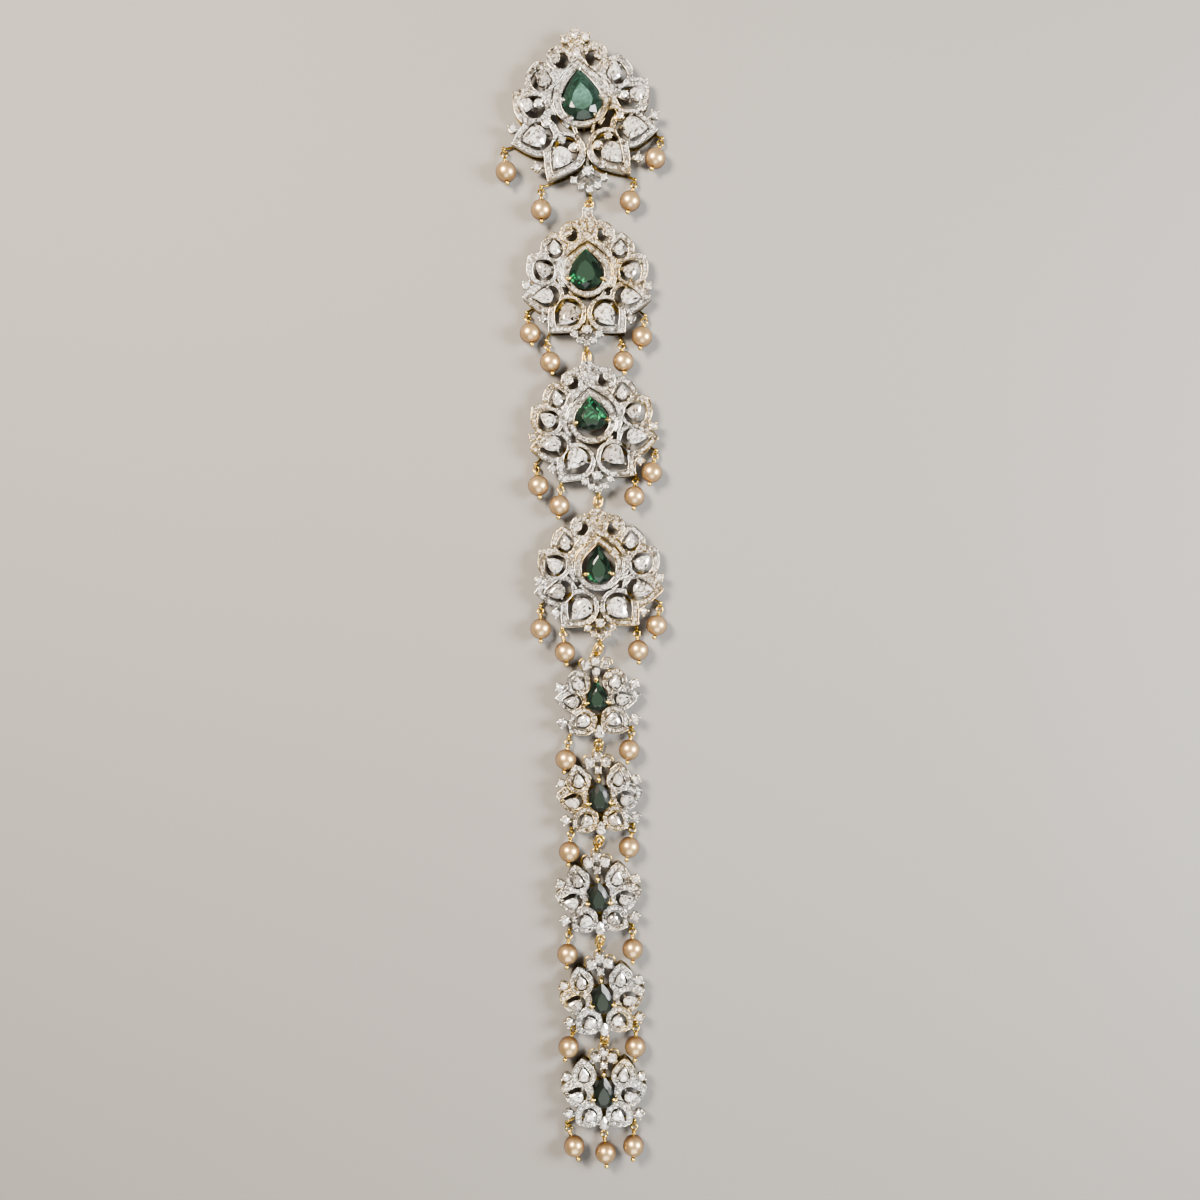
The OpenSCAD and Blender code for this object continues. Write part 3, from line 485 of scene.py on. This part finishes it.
# pave: small stones with shared beads over every plate top
pave = {
    "levels": (4.8, 5.1, 5.4),  # the plate tops of the back, middle and front petals
    "most": 0.62,  # radius of the largest stones
    "least": 0.28,
    "rim": 0.17,  # metal left between a stone and the plate's edge
    "gap": 0.06,  # between two stones
    "fromEdge": 0.78,  # middle of the first row in from the edge of a wide plate
    "narrow": 1.32,  # a plate whose half width is less carries one row down its middle
    "fills": (0.5, 0.36),  # radii of the stones in what room the rows leave
    "step": 0.14,  # how finely the rows and the rest are searched for room
    "fillStep": 0.2,
    "tilt": 7.0,  # degrees that a hand-set stone may lean
    "beadRadius": 0.17,
    "beadGap": 0.12,  # from a stone's girdle to a bead's middle
    "beadClear": 0.05,
    "beadEdge": 0.16,
    "beadApart": 0.36,
    "beadUp": 0.12,  # above the plate
    "rimRadius": 0.1,  # the bright-cut rim along each edge
    "rimStep": 0.28,
    "edgeStep": 0.08,  # how finely an edge is marked for measuring
    "rowFrom": 0.3,  # the least way in at which a row may run
}


def topLoops(name, level):
    # closed loops round a frame's flat tops at that level, metal on their left
    corners, triangles = nodeTriangles(name)
    t = corners[triangles]
    area = np.cross(t[:, 1, :2] - t[:, 0, :2], t[:, 2, :2] - t[:, 0, :2])
    flat = t[(np.abs(t[:, :, 2] - level).max(1) < 0.01) & (area > 1e-6)]
    keys = [[tuple(p) for p in tri] for tri in np.round(flat[:, :, :2], 3).tolist()]
    edges = set()
    for tri in keys:
        for a, b in zip(tri, tri[1:] + tri[:1]):
            if (b, a) in edges:
                edges.remove((b, a))
            else:
                edges.add((a, b))
    following = {}
    for a, b in sorted(edges):
        following.setdefault(a, []).append(b)
    loops = []
    while following:
        start = min(following)
        loop = [start]
        here = start
        while here in following:
            onward = following[here].pop()
            if not following[here]:
                del following[here]
            here = onward
            if here == start:
                break
            loop.append(here)
        if len(loop) > 2:
            loops.append(np.array(loop))
    return loops


def onMetal(points, loops):
    # whether each point lies inside an odd number of loops
    starts = np.concatenate(loops)
    ends = np.concatenate([np.roll(loop, -1, axis=0) for loop in loops])
    rise = ends[:, 1] - starts[:, 1]
    slope = (ends[:, 0] - starts[:, 0]) / np.where(np.abs(rise) < 1e-12, 1, rise)
    inside = []
    for block in np.array_split(points, max(1, len(points) // 1500)):
        x, y = block[:, :1], block[:, 1:2]
        crosses = (starts[:, 1] > y) != (ends[:, 1] > y)
        inside.append((crosses & (starts[:, 0] + (y - starts[:, 1]) * slope > x)).sum(1) % 2 == 1)
    return np.concatenate(inside)


def edgeTree(loops):
    # the loops as close points, for quick nearest-edge questions
    marks = []
    for loop in loops:
        for a, b in zip(loop, np.roll(loop, -1, axis=0)):
            count = max(1, math.ceil(np.hypot(*(b - a)) / pave["edgeStep"]))
            marks.extend(a + (b - a) * k / count for k in range(count))
    tree = KDTree(len(marks))
    for k, mark in enumerate(marks):
        tree.insert((*mark, 0), k)
    tree.balance()
    return tree


def edgeDistance(points, tree):
    return np.array([tree.find((x, y, 0))[2] for x, y in points])


def alongLoop(loop, step):
    # points at even steps along a closed loop, each with its direction and the way inward
    closed = np.vstack([loop, loop[:1]])
    pieces = np.diff(closed, axis=0)
    lengths = np.hypot(*pieces.T)
    marks = np.r_[0, np.cumsum(lengths)]
    for s in np.arange(0, marks[-1] - step / 2, step):
        k = min(np.searchsorted(marks, s, side="right") - 1, len(pieces) - 1)
        way = pieces[k] / max(lengths[k], 1e-9)
        yield closed[k] + way * (s - marks[k]), way, np.array([-way[1], way[0]])


def rowCandidates(loops, tree):
    # stones along each loop: one row in from the edge, or down the middle of a narrow plate
    spots = []
    for loop in loops:
        for at, way, inward in alongLoop(loop, pave["step"]):
            reach = pave["rowFrom"]
            far = tree.find((*(at + inward * reach), 0))[2]
            while reach < pave["narrow"]:
                onward = tree.find((*(at + inward * (reach + pave["step"])), 0))[2]
                if onward <= far:
                    break
                reach += pave["step"]
                far = onward
            if reach >= pave["narrow"]:
                reach = pave["fromEdge"]
                far = tree.find((*(at + inward * reach), 0))[2]
            radius = min(pave["most"], far - pave["rim"])
            if radius > pave["least"]:
                spots.append((*(at + inward * reach), math.atan2(way[1], way[0]), radius))
    return np.array(spots).reshape(-1, 4)


def fillCandidates(loops, tree, radius):
    # a fine grid over the plate, nearest the edge first
    everything = np.concatenate(loops)
    low, high = everything.min(0), everything.max(0)
    grid = np.stack(np.meshgrid(np.arange(low[0], high[0], pave["fillStep"]),
                                np.arange(low[1], high[1], pave["fillStep"])), -1).reshape(-1, 2)
    grid = grid[onMetal(grid, loops)]
    distance = edgeDistance(grid, tree)
    keep = distance > radius + pave["rim"]
    order = np.argsort(distance[keep], kind="stable")
    return np.c_[grid[keep][order], np.zeros(keep.sum()), np.full(keep.sum(), radius)]


def pickApart(candidates, taken, gap):
    # takes each candidate (x, y, turn, radius) that stands clear of all taken before it
    cell = 2 * pave["most"] + gap
    cells = {}
    for spot in taken:
        cells.setdefault((int(spot[0] // cell), int(spot[1] // cell)), []).append(spot)
    picked = []
    for spot in candidates:
        cx, cy = int(spot[0] // cell), int(spot[1] // cell)
        near = [other for i in (-1, 0, 1) for j in (-1, 0, 1) for other in cells.get((cx + i, cy + j), [])]
        if all(math.hypot(spot[0] - other[0], spot[1] - other[1]) >= spot[3] + other[3] + gap
               for other in near):
            cells.setdefault((cx, cy), []).append(spot)
            picked.append(spot)
    return picked


def paveSpots(loops, tree):
    rows = rowCandidates(loops, tree)
    rows = rows[onMetal(rows[:, :2], loops)]
    stones = pickApart(rows, [], pave["gap"])
    for radius in pave["fills"]:
        stones += pickApart(fillCandidates(loops, tree, radius), stones, pave["gap"])
    if not stones:
        return [], []
    stoneTree = KDTree(len(stones))
    for k, (x, y, turn, radius) in enumerate(stones):
        stoneTree.insert((x, y, 0), k)
    stoneTree.balance()
    beads = []
    for x, y, turn, radius in stones:
        for k in range(4):
            angle = turn + math.radians(45 + 90 * k)
            reach = radius + pave["beadGap"]
            spot = (x + reach * math.cos(angle), y + reach * math.sin(angle))
            near = stoneTree.find_n((*spot, 0), 3)
            clear = all(far > stones[index][3] + pave["beadClear"] for place, index, far in near)
            if clear and tree.find((*spot, 0))[2] > pave["beadEdge"]:
                beads.append((*spot, 0, pave["beadApart"] / 2))
    beads = np.array(beads).reshape(-1, 4)
    beads = beads[onMetal(beads[:, :2], loops)]
    return stones, pickApart(beads, [], 0)


def addRims(curve, loops, level):
    # the bright-cut rim just inside each edge, as wires half sunk in the plate
    for loop in loops:
        inside = [at + inward * pave["rimRadius"] for at, way, inward in alongLoop(loop, pave["rimStep"])]
        if len(inside) < 6:
            continue
        spline = curve.splines.new("POLY")
        spline.points.add(len(inside) - 1)
        spline.use_cyclic_u = True
        for point, (x, y) in zip(spline.points, inside):
            point.co = (x * mm, y * mm, level * mm, 1)


# a single cut: eight crown facets round a table, as stones this small have
single = {"table": 0.56, "crown": 0.42, "middle": 0.3, "girdle": 0.12, "below": 0.5, "culet": 0.3}
bpy.ops.mesh.primitive_cone_add(vertices=8, radius1=1.0, radius2=single["table"], depth=single["crown"],
                                location=(0, 0, single["middle"]))
pick("polygons", lambda face: face.normal.z < -0.9)
for down in (single["girdle"], single["below"]):
    bpy.ops.mesh.extrude_region_move(TRANSFORM_OT_translate={"value": (0, 0, -down)})
resizeBy((single["culet"], single["culet"], 1))
singleCut = takeMaster("singleCut", smooth=False)

# a bead raised with a graver: round on top, drawn down to a wider foot
bead = {"footFrom": -0.3, "footWide": 1.3, "footDown": 0.4}
bpy.ops.mesh.primitive_uv_sphere_add(segments=8, ring_count=6, radius=1.0)
pick("vertices", lambda v: v.co.z < bead["footFrom"])
resizeBy((bead["footWide"], bead["footWide"], 1))
bpy.ops.transform.translate(value=(0, 0, -bead["footDown"]))
beadMaster = takeMaster("beadMaster")

random.seed(11)
for name in frameNames:
    stonePlaces = []
    beadPlaces = []
    rims = bpy.data.curves.new("plateRims", "CURVE")
    rims.dimensions = "3D"
    rims.bevel_depth = pave["rimRadius"] * mm
    rims.bevel_resolution = 1
    for level in pave["levels"]:
        loops = topLoops(name, level)
        if not loops:
            continue
        stones, beads = paveSpots(loops, edgeTree(loops))
        addRims(rims, loops, level)
        for x, y, turn, radius in stones:
            size = radius * random.uniform(0.96, 1.03)
            lean = Matrix.Rotation(math.radians(random.uniform(0, pave["tilt"])), 4,
                                   Vector((random.uniform(-1, 1), random.uniform(-1, 1), 0.01)).normalized())
            spin = Matrix.Rotation(random.uniform(0, math.tau), 4, "Z")
            stonePlaces.append(Matrix.Translation((x, y, level)) @ lean @ spin @ Matrix.Scale(size, 4))
        for x, y, *rest in beads:
            at = Matrix.Translation((x, y, level + pave["beadUp"]))
            beadPlaces.append(at @ Matrix.Scale(pave["beadRadius"], 4))
    tints = np.array([random.random() for place in stonePlaces])
    number = name.split("_")[1]
    scatter("paveStones_" + number, singleCut, stonePlaces, paveCrystal, "side_stone", tints=tints)
    scatter("paveBeads_" + number, beadMaster, beadPlaces, rhodium, "frame_metal")
    piece = bpy.data.objects.new("plateRims_" + number, rims)
    bpy.context.scene.collection.objects.link(piece)
    bpy.ops.object.select_all(action="DESELECT")
    piece.select_set(True)
    bpy.context.view_layer.objects.active = piece
    bpy.ops.object.convert(target="MESH")
    bpy.ops.object.shade_smooth()
    finishPiece(bpy.context.object, rhodium, "frame_metal")
    print("pave on", name, ":", len(stonePlaces), "stones,", len(beadPlaces), "beads")


# cut stones
medallions = [(0, 170.7, 5.6), (2.1, 110.1, -0.3), (3.8, 60.3, 5.4), (6, 10.2, 1.5), (5.6, -33.5, 3.2),
              (6.3, -67.3, 3), (6, -101.3, 3.4), (7.3, -135.8, 4.5), (7.8, -167.7, 0.3)]  # x, y and turn
cut = {
    "table": 0.35,  # all heights above the girdle's lower edge, for a half width of 1
    "girdle": 0.05,
    "depth": 0.86,
    "mainTop": 0.56,  # how far out the main facets meet the table
    "starTop": 0.52,
    "starSlope": 0.384,
    "upperSlope": 0.84,
    "lowerExtra": 1.025,
    "pearLong": 2.6,  # a side stone's length before it is stretched to its place
    "keelBack": 1 / 6,  # share of a pear's length from its middle to its keel, away from the tip
}


def pearPoint(w, l, turn):
    # the same pear outline as the seats have: tip up, centred on its length
    peak = math.sin(math.acos(-1 / 3)) * math.sin(math.acos(-1 / 3) / 2)
    return np.array([w / 2 * math.sin(turn) * abs(math.sin(turn / 2)) / peak, l / 2 * math.cos(turn)])


def roundPoint(w, l, turn):
    return np.array([w / 2 * math.sin(turn), l / 2 * math.cos(turn)])


def outwardNormal(outline, w, l, turn):
    step = outline(w, l, turn + 0.03) - outline(w, l, turn - 0.03)
    return np.array([-step[1], step[0]]) / np.hypot(*step)


def cutStone(name, outline, w, l, keel, mains, phase):
    # a blank is cut facet by facet, each plane given by its line on the girdle and its slope
    half = w / 2
    bpy.ops.mesh.primitive_cylinder_add(vertices=6 * mains, radius=1, depth=4 * half)
    blank = bpy.context.object
    for v in blank.data.vertices:
        v.co.x, v.co.y = outline(w, l, math.atan2(v.co.x, v.co.y))
    planes = [((0, 0, cut["table"] * half), (0, 0, 1))]

    def facets(count, shift, share, height, slope, side):
        # the plane's line lies at that share of the way from the keel to the outline
        for k in range(count):
            turn = math.tau * (k + shift) / count
            out = outwardNormal(outline, w, l, turn)
            reach = (outline(w, l, turn) - keel) @ out
            at = keel + out * reach * share
            tilt = math.atan(slope * half / reach)
            planes.append(((at[0], at[1], height * half),
                           (out[0] * math.sin(tilt), out[1] * math.sin(tilt), side * math.cos(tilt))))

    crown = (cut["table"] - cut["girdle"]) / (1 - cut["mainTop"])
    facets(mains, phase, 1, cut["girdle"], crown, 1)
    facets(mains, phase + 0.5, cut["starTop"], cut["table"], cut["starSlope"], 1)
    facets(2 * mains, 2 * phase + 0.5, 1, cut["girdle"] * 0.6, cut["upperSlope"], 1)
    facets(mains, phase, 1, 0, cut["depth"], -1)
    facets(2 * mains, 2 * phase + 0.5, 1, cut["girdle"] * 0.3, cut["depth"] * cut["lowerExtra"], -1)
    for co, no in planes:
        editAll()
        bpy.ops.mesh.bisect(plane_co=co, plane_no=no, use_fill=True, clear_outer=True, threshold=0.0005)
    editAll()
    bpy.ops.mesh.remove_doubles(threshold=0.004 * half)
    faceOut()
    return takeMaster(name, smooth=False)


def pearPlace(points):
    # middle, turn, width, length and girdle height of a pear-cut CAD stone, from its own points
    apex = points[points[:, 2].argmin()]
    reach = np.hypot(*(points[:, :2] - apex[:2]).T)
    far = reach.max()
    tips = points[reach > far - 0.01]
    tip = tips[tips[:, 2].argmin()]
    way = (tip[:2] - apex[:2]) / far
    length = far / (0.5 + cut["keelBack"])
    width = 2 * (tip[2] - apex[2]) / cut["depth"]
    middle = apex[:2] + way * length * cut["keelBack"]
    return middle, math.atan2(way[1], way[0]) - math.pi / 2, width, length, tip[2]


# the center stones, and the broad claws that hold them
centerStone = {
    "clarity": {1: 1.3, 2: 1.0, 3: 0.84, 4: 0.95, 5: 0.8},  # above 1 the painted blue-green sheen shows too
    "smallClarity": 0.3,
}
grip = {
    "turns": {1: (0, 98, 150, 210, 262), 2: (118, 242), 3: (118, 242), 4: (118, 242)},  # degrees from the tip
    "smallTurns": (0, 118, 242),
    "size": (0.68, 1.0, 0.5),  # half width, half length along the way in, height of its dome
    "thin": (0.72, 1, 0.7),  # how its point is drawn in
    "down": 1.1,
    "out": 0.25,
    "up": 0.42,  # above the girdle
}
gripPlaces = {}
for name in centerNames:
    number = int(name.split("_")[-1])
    middle, turn, width, length, girdleZ = pearPlace(islands(name)[0])
    place = Matrix.Translation((*middle, girdleZ)) @ Matrix.Rotation(turn, 4, "Z")
    keel = np.array((0, -length * cut["keelBack"]))
    gripPlaces[number] = []
    for gripTurn in grip["turns"].get(number, grip["smallTurns"]):
        grown = 2 * grip["out"]
        spot = pearPoint(width + grown, length + grown, math.radians(gripTurn))
        inward = keel - spot
        lean = math.atan2(inward[1], inward[0]) - math.pi / 2
        gripPlaces[number].append(
            place @ Matrix.Translation((*spot, grip["up"])) @ Matrix.Rotation(lean, 4, "Z"))
    master = cutStone("centerCut", pearPoint, width, length, keel, 10, 0)
    clarity = centerStone["clarity"].get(number, centerStone["smallClarity"])
    scatter("greenStone_" + str(number), master, [place], green, "center_stone", name,
            tints=np.array([clarity]))
print("center stones cut:", len(centerNames))

roundPlaces = {number: [] for number in range(1, 10)}  # middle and radius of each medallion's round stones
roundMaster = cutStone("roundCut", roundPoint, 2, 2, np.array((0, 0)), 8, 0)
pearKeel = np.array((0, -cut["pearLong"] * cut["keelBack"]))
pearMaster = cutStone("pearCut", pearPoint, 2, cut["pearLong"], pearKeel, 8, 0)
random.seed(23)
for name in sideNames:
    rounds = []
    pears = []
    for points in islands(name):
        low, high = points.min(0), points.max(0)
        apex = points[points[:, 2].argmin()]
        offCenter = np.hypot(*(apex[:2] - (low + high)[:2] / 2))
        if offCenter < 0.15:
            radius = (high[0] - low[0]) / 2
            number = name.split("_")[-1]
            if number == "small":
                gaps = {k: math.hypot(*(apex[:2] - medallions[k - 1][:2])) for k in range(5, 10)}
                number = min(gaps, key=gaps.get)
            roundPlaces[int(number)].append((Vector((*apex[:2], 0)), radius))
            girdleZ = apex[2] + cut["depth"] * radius
            spin = Matrix.Rotation(random.uniform(0, 0.8), 4, "Z")
            rounds.append(Matrix.Translation((*apex[:2], girdleZ)) @ spin @ Matrix.Scale(radius, 4))
        else:
            middle, turn, width, length, girdleZ = pearPlace(points)
            size = Matrix.Diagonal((width / 2, length / cut["pearLong"], width / 2, 1))
            pears.append(Matrix.Translation((*middle, girdleZ)) @ Matrix.Rotation(turn, 4, "Z") @ size)
    number = name.split("_")[-1]
    # the pears stand for the CAD node, whose round stones are in the second piece
    for kind, master, places, replaced in (("pear", pearMaster, pears, [name]),
                                           ("round", roundMaster, rounds, [])):
        tints = np.array([random.uniform(0, 0.8) for place in places])
        scatter(kind + "Stones_" + number, master, places, clearCrystal, "side_stone", *replaced, tints=tints)
    print("side stones in", name, ":", len(pears), "pears,", len(rounds), "rounds")


# claws, baskets, rims and wires that hold the stones
claw = {
    "radius": 0.31,
    "high": 5.95,
    "out": 0.2,  # past the stone's edge
    "down": 4,  # of its radius
}
basket = {
    "from": 11.5,  # a stone further than this from the middle line stands in a square basket
    "half": 1.34,
    "wall": 0.3,
    "low": 4.0,
    "high": 5.2,
    "edge": 0.12,
    "sunk": 0.15,
    "foot": (0.8, 0.8, 1),
    "clawRadius": 0.4,  # its claws are thicker and stand further out
    "clawOut": 0.38,
}
rim = {
    "stones": [(14.6, -0.6), (12.5, -7.6), (4.1, -16.6)],  # of the largest medallion, from its middle
    "wall": 0.28,
    "low": 4.9,
    "high": 5.72,
    "inside": 1.1,
}
# gold wires bowed round the small medallions' crown stones
arc = {
    "radius": 1.85,
    "wire": 0.19,
    "start": 30,  # degrees
    "span": 240,
    "out": 0.75,
    "level": 3.6,
    "crownFrom": 11,  # a stone further up than this is in the crown
    "crownMiddle": 9,
}


def modelClaw():
    # a round claw with a domed tip, its radius one unit
    bpy.ops.mesh.primitive_uv_sphere_add(segments=10, ring_count=8, radius=1)
    pick("vertices", lambda v: v.co.z < -0.05)
    bpy.ops.transform.translate(value=(0, 0, -claw["down"]))
    return takeMaster("clawMaster")


def modelGrip():
    # a broad claw tip bent in over a center stone: long dome that thins towards its point
    bpy.ops.mesh.primitive_uv_sphere_add(segments=16, ring_count=10, radius=1)
    editAll()
    resizeBy(grip["size"])
    pick("vertices", lambda v: v.co.y > 0.4)
    resizeBy(grip["thin"])
    pick("vertices", lambda v: v.co.z < -0.1 and v.co.y < 0.2)
    bpy.ops.transform.translate(value=(0, 0, -grip["down"]))
    return takeMaster("gripMaster")


def modelBasket():
    # a square cup with its top pushed in, which leaves a wall round the stone
    bpy.ops.mesh.primitive_cube_add(size=2)
    editAll()
    resizeBy((basket["half"], basket["half"], (basket["high"] - basket["low"]) / 2))
    bpy.ops.mesh.bevel(offset=basket["edge"], segments=2)
    pick("polygons", lambda face: face.normal.z > 0.99)
    bpy.ops.mesh.inset(thickness=basket["wall"] - basket["edge"], depth=0)
    bpy.ops.mesh.extrude_region_move(TRANSFORM_OT_translate={"value": (0, 0, -basket["sunk"])})
    pick("polygons", lambda face: face.normal.z < -0.99)
    resizeBy(basket["foot"])
    return takeMaster("basketMaster")


def modelArc():
    # a bowed wire: a small circle spun part of a turn, its ends left closed
    bpy.ops.mesh.primitive_circle_add(vertices=10, radius=arc["wire"], fill_type="NGON")
    editAll()
    turnBy(math.pi / 2, "X")
    bpy.ops.transform.translate(value=(arc["radius"], 0, 0))
    turnBy(math.radians(arc["start"]), "Z")
    bpy.ops.mesh.spin(steps=32, angle=math.radians(arc["span"]), center=(0, 0, 0), axis=(0, 0, 1))
    faceOut()
    return takeMaster("arcMaster")


def modelRim():
    # a turned rim: a small rectangle with eased corners, spun once round
    bpy.ops.mesh.primitive_plane_add(size=1)
    editAll()
    bpy.ops.mesh.bevel(offset=0.25, offset_type="OFFSET", segments=3, affect="VERTICES")
    turnBy(math.pi / 2, "X")
    resizeBy((rim["wall"], 1, rim["high"] - rim["low"]))
    bpy.ops.transform.translate(value=(rim["inside"] + rim["wall"] / 2, 0, 0))
    bpy.ops.mesh.delete(type="ONLY_FACE")
    closeRound(40)
    return takeMaster("rimMaster")


clawMaster = modelClaw()
gripMaster = modelGrip()
basketMaster = modelBasket()
rimMaster = modelRim()
arcMaster = modelArc()
for name in frameNames:
    number = int(name.split("_")[1])
    x, y, turn = medallions[number - 1]
    home = Matrix.Translation((x, y, 0)) @ Matrix.Rotation(math.radians(turn), 4, "Z")
    claws = []
    baskets = []
    rims = []
    arcs = []
    for place, radius in roundPlaces[number]:
        local = home.inverted() @ place
        if number == 1 and any(math.hypot(abs(local.x) - a, local.y - b) < 0.3 for a, b in rim["stones"]):
            rims.append(Matrix.Translation((place.x, place.y, (rim["low"] + rim["high"]) / 2)))
            continue
        outward = math.atan2(local.y, local.x) + math.radians(turn)
        notch = abs(local.x) > basket["from"]
        clawRadius = basket["clawRadius"] if notch else claw["radius"]
        reach = radius + (basket["clawOut"] if notch else claw["out"])
        for k in range(4):
            angle = outward + math.radians(45 + 90 * k)
            spot = (place.x + reach * math.cos(angle), place.y + reach * math.sin(angle), claw["high"])
            claws.append(Matrix.Translation(spot) @ Matrix.Scale(clawRadius, 4))
        if notch:
            level = (basket["low"] + basket["high"]) / 2
            baskets.append(Matrix.Translation((place.x, place.y, level)) @ Matrix.Rotation(outward, 4, "Z"))
        if number > 4 and local.y > arc["crownFrom"]:
            side = math.atan2(local.y - arc["crownMiddle"], local.x)
            spot = home @ Vector((local.x + arc["out"] * math.cos(side),
                                  local.y + arc["out"] * math.sin(side), arc["level"]))
            back = math.radians(turn - arc["start"] - arc["span"] / 2)
            arcs.append(Matrix.Translation(spot) @ Matrix.Rotation(side + back, 4, "Z"))
    for kind, master, places, finish in (
            ("stoneClaws", clawMaster, claws, rhodium), ("stoneBaskets", basketMaster, baskets, rhodium),
            ("stoneRims", rimMaster, rims, rhodium), ("crownArcs", arcMaster, arcs, gilt),
            ("centerGrips", gripMaster, gripPlaces[number], rhodium if number == 1 else gilt)):
        if places:
            slotName = "gold_wire" if finish is gilt else "frame_metal"
            scatter(kind + "_" + str(number), master, places, finish, slotName)
    print("claws on", name, ":", len(claws), "baskets:", len(baskets), "arcs:", len(arcs))


# pearls and the wire wrapped round each pin's neck
pearl = {
    "radius": 3.6,
    "segments": 48,
    "rings": 25,  # the ring next to each pole then lies at the drill hole's edge
    "uneven": 0.012,  # how far a pearl is from a true ball
}
wrap = {
    "wire": 0.17,
    "radius": 0.58,
    "turns": 3,
    "low": 3.72,  # from the pearl's middle
    "high": 4.75,
}
# the solder grains where the loops meet the frame, and two more jump rings beside every link
grain = {
    "radius": 0.72,
    "level": 1.6,
    "crown": (1, 0.9, 0.8),
    "foot": (1.15, 1.05, 0.9),
    "loopRadius": 0.95,
    "ringWire": 0.31,
    "linkOut": 0.5,
}
jump = {
    "wire": 0.25,
    "half": 1.25,  # half the ring's width
    "inside": 0.9,  # how far its ends stop short of the link's
    "turns": (48, -40),  # degrees about the link's long axis
}


def modelPearl():
    bpy.ops.mesh.primitive_uv_sphere_add(segments=pearl["segments"], ring_count=pearl["rings"],
                                         radius=pearl["radius"])
    pick("vertices", lambda v: abs(v.co.z) > pearl["radius"] * 0.999)
    bpy.ops.mesh.delete(type="VERT")
    bpy.ops.mesh.select_all(action="SELECT")
    bpy.ops.mesh.region_to_loop()
    bpy.ops.mesh.bridge_edge_loops()
    faceOut()
    return takeMaster("pearlMaster")


def modelWrap():
    # fine wire wound up the neck: a circle of wire spun several turns
    sides = 8
    bpy.ops.mesh.primitive_circle_add(vertices=sides, radius=wrap["wire"], fill_type="NGON")
    editAll()
    turnBy(math.pi / 2, "X")
    bpy.ops.transform.translate(value=(wrap["radius"], 0, wrap["low"]))
    bpy.ops.mesh.spin(steps=18 * wrap["turns"], angle=math.tau * wrap["turns"],
                      center=(0, 0, 0), axis=(0, 0, 1))
    bpy.ops.object.mode_set(mode="OBJECT")
    # the spin lies flat, so each ring of points is lifted by its share of the height
    vertices = bpy.context.object.data.vertices
    for index, v in enumerate(vertices):
        share = (index // sides) / (len(vertices) // sides - 1)
        v.co.z += (wrap["high"] - wrap["low"]) * share
    faceOut()
    return takeMaster("wrapMaster")


def modelGrain():
    # a blob of solder drawn down round a wire: a ball flattened above and pulled out at its foot
    bpy.ops.mesh.primitive_uv_sphere_add(segments=16, ring_count=12, radius=grain["radius"])
    pick("vertices", lambda v: v.co.z > 0.35 * grain["radius"])
    resizeBy(grain["crown"])
    pick("vertices", lambda v: v.co.z < -0.35 * grain["radius"])
    resizeBy(grain["foot"])
    return takeMaster("grainMaster")


def modelJump():
    # drawn wire bent into a ring, which is drawn out to an oval at its place
    bpy.ops.mesh.primitive_circle_add(vertices=10, radius=jump["wire"], fill_type="NOTHING")
    editAll()
    turnBy(math.pi / 2, "X")
    bpy.ops.transform.translate(value=(jump["half"] - jump["wire"], 0, 0))
    closeRound(36)
    return takeMaster("jumpMaster")


pearlMaster = modelPearl()
wrapMaster = modelWrap()
grains = []
pins = islands("drop_pins")
wraps = []
random.seed(31)
for name in pearlNames:
    low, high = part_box(name)
    center = (low + high) / 2 / mm
    pin = min(pins, key=lambda points: np.linalg.norm(points - center, axis=1).min())
    toward = Vector(np.linalg.svd(pin - pin.mean(0), full_matrices=False)[2][0])
    if toward.y < 0:
        toward = -toward
    place = Matrix.Translation(center) @ toward.to_track_quat("Z", "Y").to_matrix().to_4x4()
    wraps.append(place)
    uneven = [1 - random.uniform(0, pearl["uneven"]) for axis in range(3)]
    scatter("pearlBead_" + name[6:], pearlMaster, [place @ Matrix.Diagonal((*uneven, 1))], nacre,
            "pearl", name)
    flat = Vector((toward.x, toward.y, 0)).normalized()
    ringTop = Vector(center) + toward * (((pin - center) @ np.array(toward)).max() - grain["ringWire"])
    spot = ringTop + flat * grain["loopRadius"]
    spin = Matrix.Rotation(random.uniform(0, 6), 4, "Z")
    grains.append(Matrix.Translation((spot.x, spot.y, grain["level"])) @ spin)

jumpPlaces = []
for k, name in enumerate(linkNames):
    points, triangles = nodeTriangles(name)
    middle = Vector((points.min(0) + points.max(0)) / 2)
    ends = []
    for (x, y, turn), side in ((medallions[k], 1), (medallions[k + 1], -1)):
        along = np.array((-math.sin(math.radians(turn)), math.cos(math.radians(turn))))
        reach = (side * (points[:, :2] - (x, y)) @ along).max() + grain["linkOut"]
        spot = (x, y) + side * reach * along
        grains.append(Matrix.Translation((*spot, grain["level"])))
        ends.append(Vector((*spot, middle.z)))
    way = ends[0] - ends[1]
    stretch = (way.length / 2 - grain["linkOut"] - jump["inside"]) / jump["half"]
    lie = Matrix.Rotation(math.atan2(way.y, way.x) - math.pi / 2, 4, "Z")
    for turn in jump["turns"]:
        jumpPlaces.append(Matrix.Translation(middle) @ lie @ Matrix.Rotation(math.radians(turn), 4, "Y")
                          @ Matrix.Diagonal((1, stretch, 1, 1)))
for name, master, places in (("neckWraps", wrapMaster, wraps), ("loopGrains", modelGrain(), grains),
                             ("jumpRings", modelJump(), jumpPlaces)):
    scatter(name, master, places, gilt, "gold_wire")
for master in masters:
    bpy.data.objects.remove(master)
print("pearls made:", len(pearlNames))
